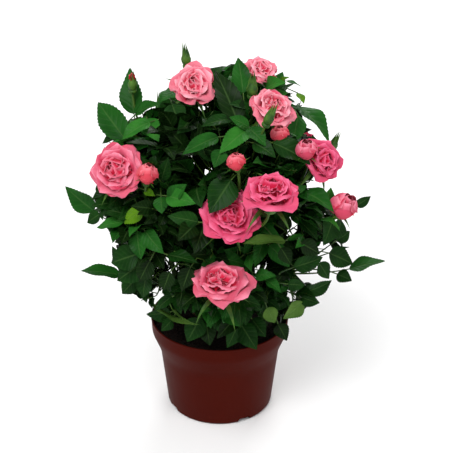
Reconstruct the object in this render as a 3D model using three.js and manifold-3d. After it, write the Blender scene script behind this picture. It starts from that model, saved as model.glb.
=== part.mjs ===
// A miniature rose bush in its plastic pot: a knuckle of a stump on the soil, one cane to each part
// of the crown, and masses of compound leaves with open blooms, half-open blooms and green buds.
// Millimetres, +Z up, the front towards -Y. The origin is the middle of the pot's flat underside.
import * as THREE from "three";
import { mergeVertices } from "three/addons/utils/BufferGeometryUtils.js";
import Module from "manifold-3d";

const wasm = await Module();
wasm.setup();

const at = (x, y, z) => new THREE.Vector3(x, y, z);
const UP = at(0, 0, 1);
const DEGREE = Math.PI / 180;
const GOLDEN_ANGLE = Math.PI * (3 - Math.sqrt(5));
const GOLDEN_SHARE = (Math.sqrt(5) - 1) / 2;

// Pot and soil
const POT_HEIGHT = 85;
const RIM_RADIUS = 60;
const BAND_RADIUS = 59.4;
const BAND_FOOT = 73;
const FLARE_RADIUS = 52.2;
const FLARE_FOOT = 55;
const BASE_RADIUS = 46.4;
const BASE_ROUNDING = 3;
const WALL = 1.8;
const FLOOR = 2.4;
const POT_SIDES = 36;
const DRAIN = { count: 4, first: -62, width: 12, height: 4, reach: 39 };
const SOIL_LEVEL = 75;
const SEAT_GAP = 0.3;

// Stump and canes
const STUMP = { foot: 15, neck: 9.5, head: 12.5, headHeight: 14 };
const CANE = { foot: 2.6, tip: 2, sides: 5, segments: 6 };
const CANE_START = { perDegree: 1.9, add: 12, most: 102 };
const CANE_BOW = 0.36;
const SLIVER = 0.02;
const STEM = { foot: 2.3, tip: 2, sides: 3, segments: 2 };
const FLOWER_STALK = { foot: 1.1, tip: 1.2, sides: 3, segments: 3 };
const LEAF_STALK = { foot: 1, tip: 0.9, sides: 4, segments: 2 };

// The crown is an egg of leaves round this centre.
const CROWN_CENTRE = at(0, 0, 195);
const CROWN_RADII = at(108, 102, 104);
const SEED = 20417;
const OUTER_LEAVES = 300;
const INNER_LEAVES = 80;
const OUTER_REACH = [0.8, 1.04];
const INNER_REACH = [0.5, 0.72];

// Each mass of foliage has a hub, where its stem ends. Its space is all that lies nearer to its own
// hub than to any other, less half of the gap that parts neighbours.
const SPACE_GAP = 0.9;
const ENTRY = { first: 0.5, last: 0.92, step: 0.02, margin: 4 };
const MASSES = {
  top_left: at(-22, -6, 243),
  top_right: at(28, -18, 243),
  upper_left: at(-56, 6, 230),
  left: at(-56, -44, 200),
  right: at(56, -32, 224),
  front: at(13, -60, 224),
  front_low: at(-2, -68, 148),
  left_low: at(-62, -24, 140),
  right_low: at(62, -30, 142),
  back_top: at(0, 38, 236),
  back_left: at(-50, 46, 190),
  back_right: at(54, 44, 192),
  back_low: at(0, 62, 138),
};

// Blooms: the middle of the open face, the way it faces (degrees round from the front, towards the
// right, and above the level), its radius, and how far the petals have opened, from 0 to 1.
const BLOOMS = {
  left_bloom: { middle: at(-81, -66, 253), faces: [-25, 48], radius: 22.5, open: 0.85 },
  left_half: { middle: at(-54, -78, 254), faces: [25, 70], radius: 10, open: 0.1 },
  top_left_bloom: { middle: at(-21, -20, 306), faces: [-5, 62], radius: 20, open: 0.7 },
  top_right_bloom: { middle: at(34, 10, 308), faces: [30, 64], radius: 16, open: 0.6 },
  upper_right_bloom: { middle: at(43, -32, 292), faces: [35, 52], radius: 22, open: 0.75 },
  upper_right_half: { middle: at(46, -46, 274), faces: [-20, 60], radius: 9, open: 0.2 },
  right_bloom: { middle: at(82, -50, 255), faces: [55, 38], radius: 19, open: 0.75 },
  right_half: { middle: at(66, -58, 266), faces: [-15, 60], radius: 10, open: 0.3 },
  side_half: { middle: at(96, -68, 223), faces: [35, 58], radius: 12.5, open: 0.35 },
  centre_half: { middle: at(12, -92, 270), faces: [-20, 66], radius: 9, open: 0.1 },
  centre_right_bloom: { middle: at(38, -106, 254), faces: [12, 68], radius: 24, open: 0.9 },
  centre_bloom: { middle: at(9, -94, 226), faces: [15, 46], radius: 24.5, open: 0.95 },
  low_bloom: { middle: at(2, -108, 179), faces: [20, 72], radius: 25.5, open: 1 },
  back_top_bloom: { middle: at(-14, 64, 286), faces: [190, 56], radius: 21, open: 0.8 },
  back_left_bloom: { middle: at(-84, 76, 214), faces: [225, 45], radius: 22, open: 0.9 },
  back_right_bloom: { middle: at(82, 72, 226), faces: [130, 48], radius: 21, open: 0.75 },
  back_right_half: { middle: at(46, 84, 236), faces: [160, 62], radius: 11, open: 0.3 },
  back_low_bloom: { middle: at(10, 100, 168), faces: [175, 52], radius: 22, open: 0.85 },
};
// Green buds with long sepals: the middle of the bud, and the way it points.
const BUDS = {
  top_left_bud: { middle: at(-27, 4, 319), faces: [-60, 82], radius: 4, length: 17 },
  upper_left_bud: { middle: at(-70, 8, 296), faces: [0, 84], radius: 3.8, length: 16 },
  top_right_bud: { middle: at(25, -22, 304), faces: [-10, 84], radius: 4.6, length: 19 },
  upper_right_bud: { middle: at(38, -60, 294), faces: [60, 66], radius: 4, length: 18 },
  back_left_bud: { middle: at(-52, 74, 252), faces: [200, 78], radius: 4, length: 16 },
  back_right_bud: { middle: at(96, 26, 236), faces: [80, 68], radius: 4, length: 16 },
};
// Leaves that reach out of the crown's outline, or hang over the rim: where their tips are.
const REACHING_TIPS = [
  at(-76, 10, 302),
  at(-104, 10, 279),
  at(-124, -34, 212),
  at(-115, -40, 152),
  at(-62, -76, 128),
  at(34, -86, 98),
  at(72, -72, 116),
  at(136, -40, 157),
  at(118, -46, 223),
  at(88, -30, 258),
  at(17, 0, 318),
  at(-4, -118, 236),
  at(124, 24, 190),
  at(-112, 48, 200),
  at(46, 116, 190),
  at(-40, 112, 150),
];

// A compound leaf, at its full size
const LEAFLET = {
  length: 38,
  halfWidth: 12.4,
  widest: 0.44,
  rib: 0.1,
  fold: 2.4,
  thickness: 1.4,
  droop: 5,
};
const LEAFLET_ROOT = { end: 0.8, side: 0.1 };
const LEAF_SIZES = [0.74, 1.07];
// Pairs of leaflets below the end one: how far below it, their size, and their angle from the stalk.
const PAIRS = [
  { below: 8, size: 0.93, angle: 62 },
  { below: 24, size: 0.8, angle: 68 },
];
const BARE_STALK = 6;
// A leaf is turned by one of these to find room, and each is drawn in to its own mass by this share.
const TURNS = [0, 0.6, -0.6, 1.2, -1.2, 1.8, -1.8, 2.6];
const GATHER = 0.2;
// The share of its end leaflet that a leaf laid over the crown has below its own spot
const TILE_SHARE = 0.6;
// Leaves that keep all their leaflets are placed first, then those that lose some.
const FEWEST_LEAFLETS = [5, 4, 3, 2];
const FEWEST_REACHING = [3, 1];
const BLOOM_CLEARANCE = 0.8;
const BLOOM_SIGHT = 45;
const BLOOM_LOBE = 0.09;
const bloomDepth = ({ radius, open }) => radius * (1.2 - 0.45 * open);

// A seeded series of numbers from 0 to 1, the same on every machine
class Draws {
  constructor(seed) {
    this.state = seed;
  }
  next() {
    this.state = (this.state * 16807) % 2147483647;
    return this.state / 2147483647;
  }
  between([low, high]) {
    return low + (high - low) * this.next();
  }
}

// Plain vector sums
const sum = (a, b, k = 1) => a.clone().addScaledVector(b, k);
const mix = (a, b, t) => a.clone().lerp(b, t);
const direction = (from, to) => to.clone().sub(from).normalize();
const squareTo = (v, axis) => v.clone().addScaledVector(axis, -v.dot(axis)).normalize();

function facing([round, above]) {
  const level = Math.cos(above * DEGREE);
  const turn = round * DEGREE;
  return at(Math.sin(turn) * level, -Math.cos(turn) * level, Math.sin(above * DEGREE));
}

// A three.js geometry as a closed solid
function solid(geometry, tolerance = 1e-4) {
  const bare = geometry.clone();
  bare.deleteAttribute("normal");
  bare.deleteAttribute("uv");
  const merged = mergeVertices(bare, tolerance);
  return new wasm.Manifold(
    new wasm.Mesh({
      numProp: 3,
      vertProperties: new Float32Array(merged.attributes.position.array),
      triVerts: new Uint32Array(merged.index.array),
    }),
  );
}

// A solid as a three.js geometry
function geometryOf(body) {
  const mesh = body.getMesh();
  const places = [];
  for (let i = 0; i < mesh.numVert; i++) {
    places.push(...mesh.vertProperties.subarray(i * mesh.numProp, i * mesh.numProp + 3));
  }
  const geometry = new THREE.BufferGeometry();
  geometry.setAttribute("position", new THREE.Float32BufferAttribute(places, 3));
  geometry.setIndex([...mesh.triVerts]);
  geometry.computeVertexNormals();
  return geometry;
}

// The points of solids that are turned about Z: [radius, height] pairs from the foot upwards
function turned(points, sides) {
  const profile = points.map(([radius, height]) => new THREE.Vector2(radius, height));
  return solid(new THREE.LatheGeometry(profile, sides).rotateX(90 * DEGREE));
}

// A turned solid stood on a foot and pointed along an axis
function turnedAlong(points, sides, foot, axis) {
  const profile = points.map(([radius, height]) => new THREE.Vector2(radius, height));
  const geometry = new THREE.LatheGeometry(profile, sides);
  geometry.applyQuaternion(new THREE.Quaternion().setFromUnitVectors(at(0, 1, 0), axis));
  return solid(geometry.translate(foot.x, foot.y, foot.z));
}

// A tapering limb: a cylinder bent along a curve. Where it has a face, one of its sides turns to it.
function limb(curve, { foot, tip, sides, segments }, face) {
  const geometry = new THREE.CylinderGeometry(tip, foot, 1, sides, segments, false, Math.PI / sides);
  const frames = curve.computeFrenetFrames(segments, false);
  const turn = face
    ? Math.atan2(face.dot(frames.binormals[segments]), face.dot(frames.normals[segments]))
    : 0;
  const places = geometry.getAttribute("position");
  for (let i = 0; i < places.count; i++) {
    const ring = Math.round((places.getY(i) + 0.5) * segments);
    const offset = new THREE.Vector2(places.getX(i), -places.getZ(i));
    offset.rotateAround(new THREE.Vector2(), turn);
    const place = sum(curve.getPointAt(ring / segments), frames.normals[ring], offset.x);
    place.addScaledVector(frames.binormals[ring], offset.y);
    places.setXYZ(i, place.x, place.y, place.z);
  }
  return solid(geometry);
}

// A thin folded blade: the corners of an octahedron moved to its foot, its tip, its two sides and the
// two faces of its midrib, which is thickest close to the foot
function blade({ foot, tip, normal, halfWidth, widest, rib, fold, thickness }) {
  const along = direction(foot, tip);
  const face = squareTo(normal, along);
  const side = along.clone().cross(face);
  const edge = sum(mix(foot, tip, widest), face, fold);
  const middle = mix(foot, tip, rib);
  const corners = {
    "1,0,0": sum(edge, side, halfWidth),
    "-1,0,0": sum(edge, side, -halfWidth),
    "0,1,0": tip,
    "0,-1,0": foot,
    "0,0,1": sum(middle, face, thickness / 2),
    "0,0,-1": sum(middle, face, -thickness / 2),
  };
  const geometry = new THREE.OctahedronGeometry(1);
  const places = geometry.getAttribute("position");
  for (let i = 0; i < places.count; i++) {
    const corner = [places.getX(i), places.getY(i), places.getZ(i)].map((v) => Math.round(v) + 0);
    const { x, y, z } = corners[corner.join(",")];
    places.setXYZ(i, x, y, z);
  }
  return solid(geometry);
}

// The pot's wall as radius at a height, used by the pot and by what must stay clear of it
function potProfile(inset) {
  const rounding = [0, 45, 90].map((turn) => [
    BASE_RADIUS - BASE_ROUNDING + BASE_ROUNDING * Math.sin(turn * DEGREE) - inset,
    BASE_ROUNDING - BASE_ROUNDING * Math.cos(turn * DEGREE),
  ]);
  return [
    ...rounding,
    [FLARE_RADIUS - inset, FLARE_FOOT],
    [FLARE_RADIUS + 1 - inset, FLARE_FOOT + 4],
    [BAND_RADIUS - inset, BAND_FOOT],
  ];
}

function makePot() {
  const outside = potProfile(0);
  const inside = potProfile(WALL)
    .slice(2)
    .reverse();
  const ring = turned(
    [
      [0, 0],
      ...outside,
      [RIM_RADIUS, POT_HEIGHT],
      [RIM_RADIUS - WALL, POT_HEIGHT],
      ...inside,
      [BASE_RADIUS - BASE_ROUNDING, FLOOR],
      [0, FLOOR],
    ],
    POT_SIDES,
  );
  const drains = Array.from({ length: DRAIN.count }, (_, i) => {
    const block = new THREE.BoxGeometry(DRAIN.width, BASE_RADIUS - DRAIN.reach + 4, DRAIN.height * 2);
    block.translate(0, -(BASE_RADIUS + DRAIN.reach + 4) / 2, 0);
    return solid(block.rotateZ((DRAIN.first + (i * 360) / DRAIN.count) * DEGREE));
  });
  return ring.subtract(wasm.Manifold.union(drains));
}

function makeSoil() {
  const gap = WALL + SEAT_GAP;
  const wall = potProfile(gap).filter(([, height]) => height > BASE_ROUNDING && height < SOIL_LEVEL);
  const topRadius = BAND_RADIUS - gap;
  return turned(
    [
      [0, DRAIN.height + SEAT_GAP],
      [BASE_RADIUS - gap, DRAIN.height + SEAT_GAP],
      ...wall,
      [topRadius, SOIL_LEVEL - 1.6],
      [topRadius * 0.55, SOIL_LEVEL - 0.4],
      [STUMP.foot + 3, SOIL_LEVEL],
      [0, SOIL_LEVEL],
    ],
    POT_SIDES,
  );
}

const headCentre = at(0, 0, SOIL_LEVEL + SEAT_GAP + STUMP.headHeight);

function makeStump() {
  const ground = SOIL_LEVEL + SEAT_GAP;
  const dome = [-45, -10, 25, 60, 90].map((rise) => [
    rise === 90 ? 0 : STUMP.head * Math.cos(rise * DEGREE),
    headCentre.z + STUMP.head * Math.sin(rise * DEGREE),
  ]);
  return turned([[0, ground], [STUMP.foot, ground], [STUMP.neck, ground + 2.5], ...dome], 18);
}

// The space that belongs to a mass
function inSpace(name, point, margin = 0) {
  const hub = MASSES[name];
  return Object.entries(MASSES).every(([other, place]) => {
    if (other === name) {
      return true;
    }
    const beyond = point.clone().sub(mix(hub, place, 0.5)).dot(direction(hub, place));
    return beyond < -SPACE_GAP / 2 - margin;
  });
}

const massAt = (point) =>
  Object.keys(MASSES).reduce((best, name) =>
    point.distanceTo(MASSES[name]) < point.distanceTo(MASSES[best]) ? name : best,
  );

// Where a mass's stem takes over from its cane: the first place that is well inside its space
function entryOf(name) {
  let share = ENTRY.first;
  while (share < ENTRY.last && !inSpace(name, mix(headCentre, MASSES[name], share), ENTRY.margin)) {
    share += ENTRY.step;
  }
  return mix(headCentre, MASSES[name], share);
}

function caneCurve(name) {
  const entry = entryOf(name);
  const reach = entry.clone().sub(headCentre);
  const level = at(reach.x, reach.y, 0).normalize();
  const lean = Math.atan2(Math.hypot(reach.x, reach.y), reach.z) / DEGREE;
  const start = Math.min(CANE_START.most, lean * CANE_START.perDegree + CANE_START.add) * DEGREE;
  const outwards = level.multiplyScalar(Math.sin(start)).addScaledVector(UP, Math.cos(start));
  const foot = sum(headCentre, outwards, STUMP.head + SEAT_GAP);
  const bow = sum(foot, outwards, foot.distanceTo(entry) * CANE_BOW);
  return new THREE.QuadraticBezierCurve3(foot, bow, entry);
}

function stemCurve(name) {
  const cane = caneCurve(name);
  const heading = cane.getTangentAt(1);
  const foot = sum(cane.getPointAt(1), heading, SEAT_GAP);
  const bow = sum(foot, heading, foot.distanceTo(MASSES[name]) * 0.5);
  return new THREE.QuadraticBezierCurve3(foot, bow, MASSES[name]);
}

// A stalk leaves the stem at a station and arrives along a heading.
function stalkCurve(name, station, end, heading, bend) {
  const foot = stemCurve(name).getPointAt(station);
  return new THREE.QuadraticBezierCurve3(foot, sum(end, heading, -foot.distanceTo(end) * bend), end);
}

// The way a bloom may be seen is kept free of leaves: two short columns from its middle.
function hidesBloom(point) {
  return Object.values(BLOOMS).some(({ middle, faces, radius }) => {
    const outwards = direction(CROWN_CENTRE, middle);
    return [facing(faces), outwards].some((way) => {
      const along = THREE.MathUtils.clamp(point.clone().sub(middle).dot(way), -radius * 0.5, BLOOM_SIGHT);
      return point.distanceTo(sum(middle, way, along)) < radius * BLOOM_CLEARANCE;
    });
  });
}

// Where the leaves are: the named ones, which reach to a tip, and then those that hang in a spiral
// lattice over the crown, on its outside and further in
function leafSpots() {
  const draws = new Draws(SEED);
  const lattice = (count, reach, skew) =>
    Array.from({ length: count }, (_, i) => {
      const height = 1 - (2 * (i + 0.5)) / count;
      const level = Math.sqrt(1 - height * height);
      const turn = i * GOLDEN_ANGLE + skew;
      const ray = at(Math.cos(turn) * level, Math.sin(turn) * level, height);
      const spot = ray.multiply(CROWN_RADII).multiplyScalar(draws.between(reach)).add(CROWN_CENTRE);
      return { spot, reaches: false };
    });
  return [
    ...REACHING_TIPS.map((spot) => ({ spot, reaches: true })),
    ...lattice(OUTER_LEAVES, OUTER_REACH, 0),
    ...lattice(INNER_LEAVES, INNER_REACH, 1),
  ];
}

// Where the next stalk leaves a mass's stem: each takes the widest free part of it
const stationOf = (order) => 0.1 + 0.88 * ((order * GOLDEN_SHARE) % 1);

// What is drawn for a leaf, always in this order
function drawLeaf({ spot, reaches }, order, draws) {
  const name = massAt(spot);
  const hubWay = direction(CROWN_CENTRE, MASSES[name]);
  const axial = sum(CROWN_CENTRE, hubWay, spot.distanceTo(CROWN_CENTRE));
  return {
    name,
    reaches,
    spot: mix(spot, axial, reaches ? 0 : GATHER),
    station: stationOf(order[name]++),
    size: draws.between(LEAF_SIZES),
    sway: draws.between([-0.6, 0.6]),
    tilt: draws.between([0.35, 0.85]),
    droop: draws.between([0.5, 1.5]),
  };
}

// One compound leaf: the curve of its stalk, the way it faces, and where each leaflet lies. A leaf
// that reaches runs straight out to its tip. Any other lies over the crown like a tile, its face
// outwards and up and its tip down the slope, swayed to one side and tilted out.
function layLeaf({ name, spot, reaches, station, size, sway, tilt, droop }) {
  const foot = stemCurve(name).getPointAt(station);
  const out = direction(CROWN_CENTRE, spot);
  const length = LEAFLET.length * size;
  const slope = sum(out, UP, 0.55).normalize();
  const fall = squareTo(UP.clone().negate(), slope).applyAxisAngle(slope, sway);
  const heading = (reaches ? sum(direction(foot, spot), UP, -0.18) : sum(fall, out, tilt)).normalize();
  const tip = reaches ? spot : sum(spot, heading, length * TILE_SHARE);
  const end = sum(tip, heading, -length);
  const across = heading.clone().cross(UP).normalize();
  const face = squareTo(reaches ? sum(sum(UP, out, 0.7), across, sway) : slope, heading);
  const side = heading.clone().cross(face);
  const stalk = stalkCurve(name, station, end, heading, 0.4);
  const reach = stalk.getLength();
  const leaflet = (start, way, share, root) => ({
    foot: sum(start, way, -root),
    tip: sum(sum(start, way, length * share), face, -LEAFLET.droop * droop * share),
    normal: face,
    halfWidth: LEAFLET.halfWidth * size * share,
    widest: LEAFLET.widest,
    rib: LEAFLET.rib,
    fold: LEAFLET.fold * size * share,
    thickness: LEAFLET.thickness,
  });
  const leaflets = [leaflet(end, heading, 1, LEAFLET_ROOT.end)];
  for (const { below, size: share, angle } of PAIRS) {
    if (below * size + BARE_STALK > reach) {
      continue;
    }
    const place = stalk.getPointAt(1 - (below * size) / reach);
    for (const hand of [1, -1]) {
      const way = heading.clone().multiplyScalar(Math.cos(angle * DEGREE));
      way.addScaledVector(side, hand * Math.sin(angle * DEGREE));
      leaflets.push(leaflet(place, way, share, LEAFLET_ROOT.side));
    }
  }
  return { stalk, face, leaflets };
}

// The places of a leaflet that have to lie in its mass's own space
function markersOf({ foot, tip, normal, halfWidth, widest }) {
  const side = direction(foot, tip).cross(normal);
  const middle = mix(foot, tip, widest);
  return [middle, tip, sum(middle, side, halfWidth), sum(middle, side, -halfWidth), mix(middle, tip, 0.5)];
}

// A rose: one turned body whose rim is drawn out into lobes where the petals are, round a furled heart
function makeBloom({ middle, faces, radius, open }) {
  const axis = facing(faces);
  const depth = bloomDepth({ radius, open });
  const hip = radius * 0.14 + 1.2;
  const lobes = open < 0.5 ? 3 : 5;
  const profile = [
    [0, -depth - hip, 0],
    [hip * 0.8, -depth - hip, 0],
    [hip, -depth - hip * 0.2, 0],
    [radius * (0.72 - 0.14 * open), -depth * 0.72, 0.2],
    [radius * (0.98 - 0.12 * open), -depth * 0.38, 0.6],
    [radius, -depth * (0.02 + 0.16 * open), 1],
    [radius * (0.72 + 0.18 * open), depth * (0.1 - 0.12 * open), 1],
    [radius * (0.5 + 0.1 * open), -depth * 0.08, 0.2],
    [radius * (0.3 + 0.14 * open), depth * 0.14, 0.2],
    [0, depth * 0.02, 0],
  ];
  const geometry = new THREE.LatheGeometry(
    profile.map(([r, height]) => new THREE.Vector2(r, height)),
    lobes * 2,
  );
  const places = geometry.getAttribute("position");
  for (let i = 0; i < places.count; i++) {
    const share = profile[i % profile.length][2] * BLOOM_LOBE;
    const swell = 1 + (Math.floor(i / profile.length) % 2 ? share : -share);
    places.setXYZ(i, places.getX(i) * swell, places.getY(i), places.getZ(i) * swell);
  }
  geometry.applyQuaternion(new THREE.Quaternion().setFromUnitVectors(at(0, 1, 0), axis));
  return solid(geometry.translate(middle.x, middle.y, middle.z));
}

// A green bud: a pointed spindle between sepals that stand past its tip
function makeBud({ middle, faces, radius, length }) {
  const axis = facing(faces);
  const foot = sum(middle, axis, -length * 0.5);
  const side = squareTo(at(1, 0.2, 0.1), axis);
  const spindle = turnedAlong(
    [
      [0, -radius * 0.3],
      [radius * 0.6, -radius * 0.3],
      [radius, length * 0.3],
      [radius * 0.6, length * 0.7],
      [0, length],
    ],
    6,
    foot,
    axis,
  );
  const sepals = [20, 140, 260].map((turn) => {
    const out = side.clone().applyAxisAngle(axis, turn * DEGREE);
    const start = sum(foot, out, radius * 0.3);
    return blade({
      foot: start,
      tip: sum(sum(start, axis, length * 1.45), out, radius * 0.9),
      normal: out.clone().negate(),
      halfWidth: radius * 0.6,
      widest: 0.3,
      rib: 0.2,
      fold: -radius * 0.2,
      thickness: 1,
    });
  });
  return wasm.Manifold.union([spindle, ...sepals]);
}

// What the leaves have to stay clear of: the pot, the stump and every cane, each a little fatter
function makeGuard() {
  const fatter = 0.5;
  const pot = turned(
    [
      [0, 0],
      [BASE_RADIUS, 0],
      [FLARE_RADIUS + fatter, FLARE_FOOT],
      [RIM_RADIUS + fatter, BAND_FOOT],
      [RIM_RADIUS + fatter, POT_HEIGHT + fatter],
      [RIM_RADIUS - WALL - fatter, POT_HEIGHT + fatter],
      [RIM_RADIUS - WALL - 6, SOIL_LEVEL + fatter],
      [0, SOIL_LEVEL + fatter],
    ],
    24,
  );
  const fat = { ...CANE, foot: CANE.foot + fatter, tip: CANE.tip + fatter };
  const canes = Object.keys(MASSES).map((name) => limb(caneCurve(name), fat));
  return wasm.Manifold.union([pot, makeStump(), ...canes]);
}

// One mass: its stem, its flower stalks with their blooms and buds, and the leaves that find room
function makeMasses() {
  const guard = makeGuard();
  const names = Object.keys(MASSES);
  const each = (make) => Object.fromEntries(names.map((name) => [name, make(name)]));
  const stems = each((name) => limb(stemCurve(name), STEM));
  const stalks = each(() => []);
  const blades = each(() => []);
  const order = each(() => 1);
  const flower = (name, made, axis, end) => {
    const stalk = stalkCurve(name, stationOf(order[name]++), end, axis, 0.45);
    stalks[name].push(limb(stalk, FLOWER_STALK));
    blades[name].push(made);
  };
  for (const bloom of Object.values(BLOOMS)) {
    const axis = facing(bloom.faces);
    flower(massAt(bloom.middle), makeBloom(bloom), axis, sum(bloom.middle, axis, -bloomDepth(bloom) - 1.5));
  }
  for (const bud of Object.values(BUDS)) {
    const axis = facing(bud.faces);
    flower(massAt(bud.middle), makeBud(bud), axis, sum(bud.middle, axis, -bud.length * 0.5 + 1));
  }
  const isApart = (body, others) => others.every((other) => other.intersect(body).isEmpty());
  const draws = new Draws(SEED + 1);
  let waiting = leafSpots().map((leafSpot) => drawLeaf(leafSpot, order, draws));
  const place = (drawn, fewest) => {
    const { name, reaches } = drawn;
    const isClear = (point) => inSpace(name, point, 1) && !hidesBloom(point);
    const hasRoom = (body) => isApart(body, [guard, stems[name], ...stalks[name], ...blades[name]]);
    for (const turn of TURNS) {
      const { stalk, face, leaflets } = layLeaf({ ...drawn, sway: drawn.sway + turn });
      const rib = limb(stalk, LEAF_STALK, face);
      const within = leaflets.filter((leaflet) => markersOf(leaflet).every(isClear));
      const stalkFits = stalk.getPoints(6).slice(1).every(isClear) && isApart(rib, [guard, ...blades[name]]);
      if (within.length < fewest || !stalkFits || (reaches && within[0] !== leaflets[0])) {
        continue;
      }
      const [end, ...sides] = within.map(blade);
      const kept = [end, ...sides].filter(hasRoom);
      if (kept.length >= fewest && (!reaches || kept[0] === end)) {
        stalks[name].push(rib);
        blades[name].push(...kept);
        return true;
      }
    }
    return false;
  };
  for (const fewest of FEWEST_REACHING) {
    waiting = waiting.filter((drawn) => !drawn.reaches || !place(drawn, fewest));
  }
  for (const fewest of FEWEST_LEAFLETS) {
    waiting = waiting.filter((drawn) => drawn.reaches || !place(drawn, fewest));
  }
  return each((name) => [stems[name], ...stalks[name], ...blades[name]]);
}

// The largest piece of a fused solid, its slivers smoothed away: scraps and sealed hollows are dropped.
function wholePiece(pieces) {
  const fused = wasm.Manifold.union(pieces).simplify(SLIVER);
  const bodies = solid(geometryOf(fused), SLIVER / 2).simplify(SLIVER).decompose();
  return bodies.reduce((best, body) => (body.volume() > best.volume() ? body : best));
}

// Materials
const plastic = new THREE.MeshStandardMaterial({ color: 0x6b2418, roughness: 0.55, metalness: 0 });
const peat = new THREE.MeshStandardMaterial({ color: 0x1c120d, roughness: 1, metalness: 0 });
const bark = new THREE.MeshStandardMaterial({ color: 0x4a5a2a, roughness: 0.7, metalness: 0 });
const leafGreen = new THREE.MeshStandardMaterial({ color: 0x1f4a1c, roughness: 0.5, metalness: 0 });

const rose = new THREE.Group();
rose.name = "potted_rose_bush";

function add(name, body, material) {
  const mesh = new THREE.Mesh(geometryOf(body), material);
  mesh.name = name;
  rose.add(mesh);
}

add("pot", makePot(), plastic);
add("soil", makeSoil(), peat);
add("stump", makeStump(), bark);
for (const name of Object.keys(MASSES)) {
  add(`cane_${name}`, limb(caneCurve(name), CANE), bark);
}
for (const [name, pieces] of Object.entries(makeMasses())) {
  add(`foliage_${name}`, wholePiece(pieces), leafGreen);
}

export default rose;
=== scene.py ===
# %% [markdown]
# # A miniature rose bush in its nursery pot
#
# The part is a pot rose: a brick-brown plastic pot, a plug of peat, a knuckle of green canes, and a
# round crown of compound leaves with open blooms, half-open blooms and green buds.
#
# The solids of the part are already packed, and they say where everything is. This script grows the
# looks round them: it repeats the rule by which the solids' crown grew, and carries it on to finer
# twigs with real leaflets, petals and stalks. Everything is in metres, +Z up, the front towards -Y.

# %% Load the frame
import math
from types import SimpleNamespace

import bmesh
import bpy
import numpy as np
from mathutils import Matrix, Quaternion, Vector


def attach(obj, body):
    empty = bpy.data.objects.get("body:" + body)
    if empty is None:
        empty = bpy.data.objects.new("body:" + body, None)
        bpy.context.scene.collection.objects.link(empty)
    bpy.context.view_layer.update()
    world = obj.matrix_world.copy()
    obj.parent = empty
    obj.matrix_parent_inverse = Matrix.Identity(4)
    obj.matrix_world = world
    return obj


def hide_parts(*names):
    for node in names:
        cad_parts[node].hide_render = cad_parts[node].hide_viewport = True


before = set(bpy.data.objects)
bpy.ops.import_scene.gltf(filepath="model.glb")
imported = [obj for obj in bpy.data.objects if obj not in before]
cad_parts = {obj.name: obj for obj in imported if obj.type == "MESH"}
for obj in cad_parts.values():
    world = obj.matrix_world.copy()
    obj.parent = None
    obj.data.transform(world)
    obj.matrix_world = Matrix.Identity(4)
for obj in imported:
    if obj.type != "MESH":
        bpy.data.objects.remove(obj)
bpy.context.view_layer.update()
MM = 0.001

# %% [markdown]
# ## The camera and the light
#
# The photograph looks a little down on the plant, from about the distance of a shelf. A long lens
# keeps the pot's sides nearly parallel. Area lights stand in for a photographer's soft boxes: a
# strong one in front at the upper left, a weak one at the right, and one behind that lights the rim
# of the crown. A bright room all round keeps every shadow soft and the dark leaves readable.

# %% Place the camera
PICTURE_WIDTH = 453
CAMERA_PLACE = Vector((0, -0.89, 0.62))
LOOKS_DOWN = math.radians(26.8)
FOCAL_PIXELS = 1185
AXIS_COLUMN = 219.8
MIDDLE = PICTURE_WIDTH / 2
SENSOR = 36

camera_data = bpy.data.cameras.new("camera")
camera_data.sensor_width = SENSOR
camera_data.lens = FOCAL_PIXELS / PICTURE_WIDTH * SENSOR
camera_data.shift_x = (MIDDLE - AXIS_COLUMN) / PICTURE_WIDTH
camera = bpy.data.objects.new("camera", camera_data)
camera.location = CAMERA_PLACE
camera.rotation_euler = (math.pi / 2 - LOOKS_DOWN, 0, 0)
bpy.context.scene.collection.objects.link(camera)
bpy.context.scene.camera = camera
LOOK = Vector((0, math.cos(LOOKS_DOWN), -math.sin(LOOKS_DOWN)))
LOOK_UP = Vector((0, math.sin(LOOKS_DOWN), math.cos(LOOKS_DOWN)))


def pixel_of(place):
    """Where a place shows in the photograph, as its column and row."""
    off = place - CAMERA_PLACE
    reach = FOCAL_PIXELS / off.dot(LOOK)
    return AXIS_COLUMN + off.x * reach, MIDDLE - off.dot(LOOK_UP) * reach


print("lens:", round(camera_data.lens, 1), "mm, the origin shows at", pixel_of(Vector()))


# %% Light the scene
def add_light(name, place, target, size, watts):
    """A square soft box that faces its target."""
    data = bpy.data.lights.new(name, "AREA")
    data.shape = "SQUARE"
    data.size = size
    data.energy = watts
    light = bpy.data.objects.new(name, data)
    light.location = place
    light.rotation_euler = (Vector(target) - Vector(place)).to_track_quat("-Z", "Y").to_euler()
    bpy.context.scene.collection.objects.link(light)
    return light


CROWN_MIDDLE = (0, 0, 0.2)
BOX_SIZE = 1.0
ROOM_LIGHT = 0.5
add_light("key_light", (-0.5, -1.0, 1.65), CROWN_MIDDLE, BOX_SIZE, watts=28)
add_light("fill_light", (1.3, -0.9, 0.9), CROWN_MIDDLE, BOX_SIZE, watts=6)
add_light("back_light", (0.3, 1.3, 1.3), CROWN_MIDDLE, BOX_SIZE, watts=17)

world = bpy.data.worlds.new("bright_room")
world.use_nodes = True
world.node_tree.nodes["Background"].inputs["Color"].default_value = (1, 1, 1, 1)
world.node_tree.nodes["Background"].inputs["Strength"].default_value = ROOM_LIGHT
bpy.context.scene.world = world
bpy.context.scene.view_settings.view_transform = "Standard"

# %% [markdown]
# ## Materials as expressions
#
# A finish is worked out by small nodes: noise, ramps and sums. Wired by hand they are hard to read.
# The class below wraps one output socket, so that a sum of two of them adds the Math node by itself
# and a finish reads like a formula. Any other node comes from its one method `node`.

# %% A socket that can be summed and multiplied
MIX_FIRST, MIX_SECOND, MIX_RESULT = 6, 7, 2


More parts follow.
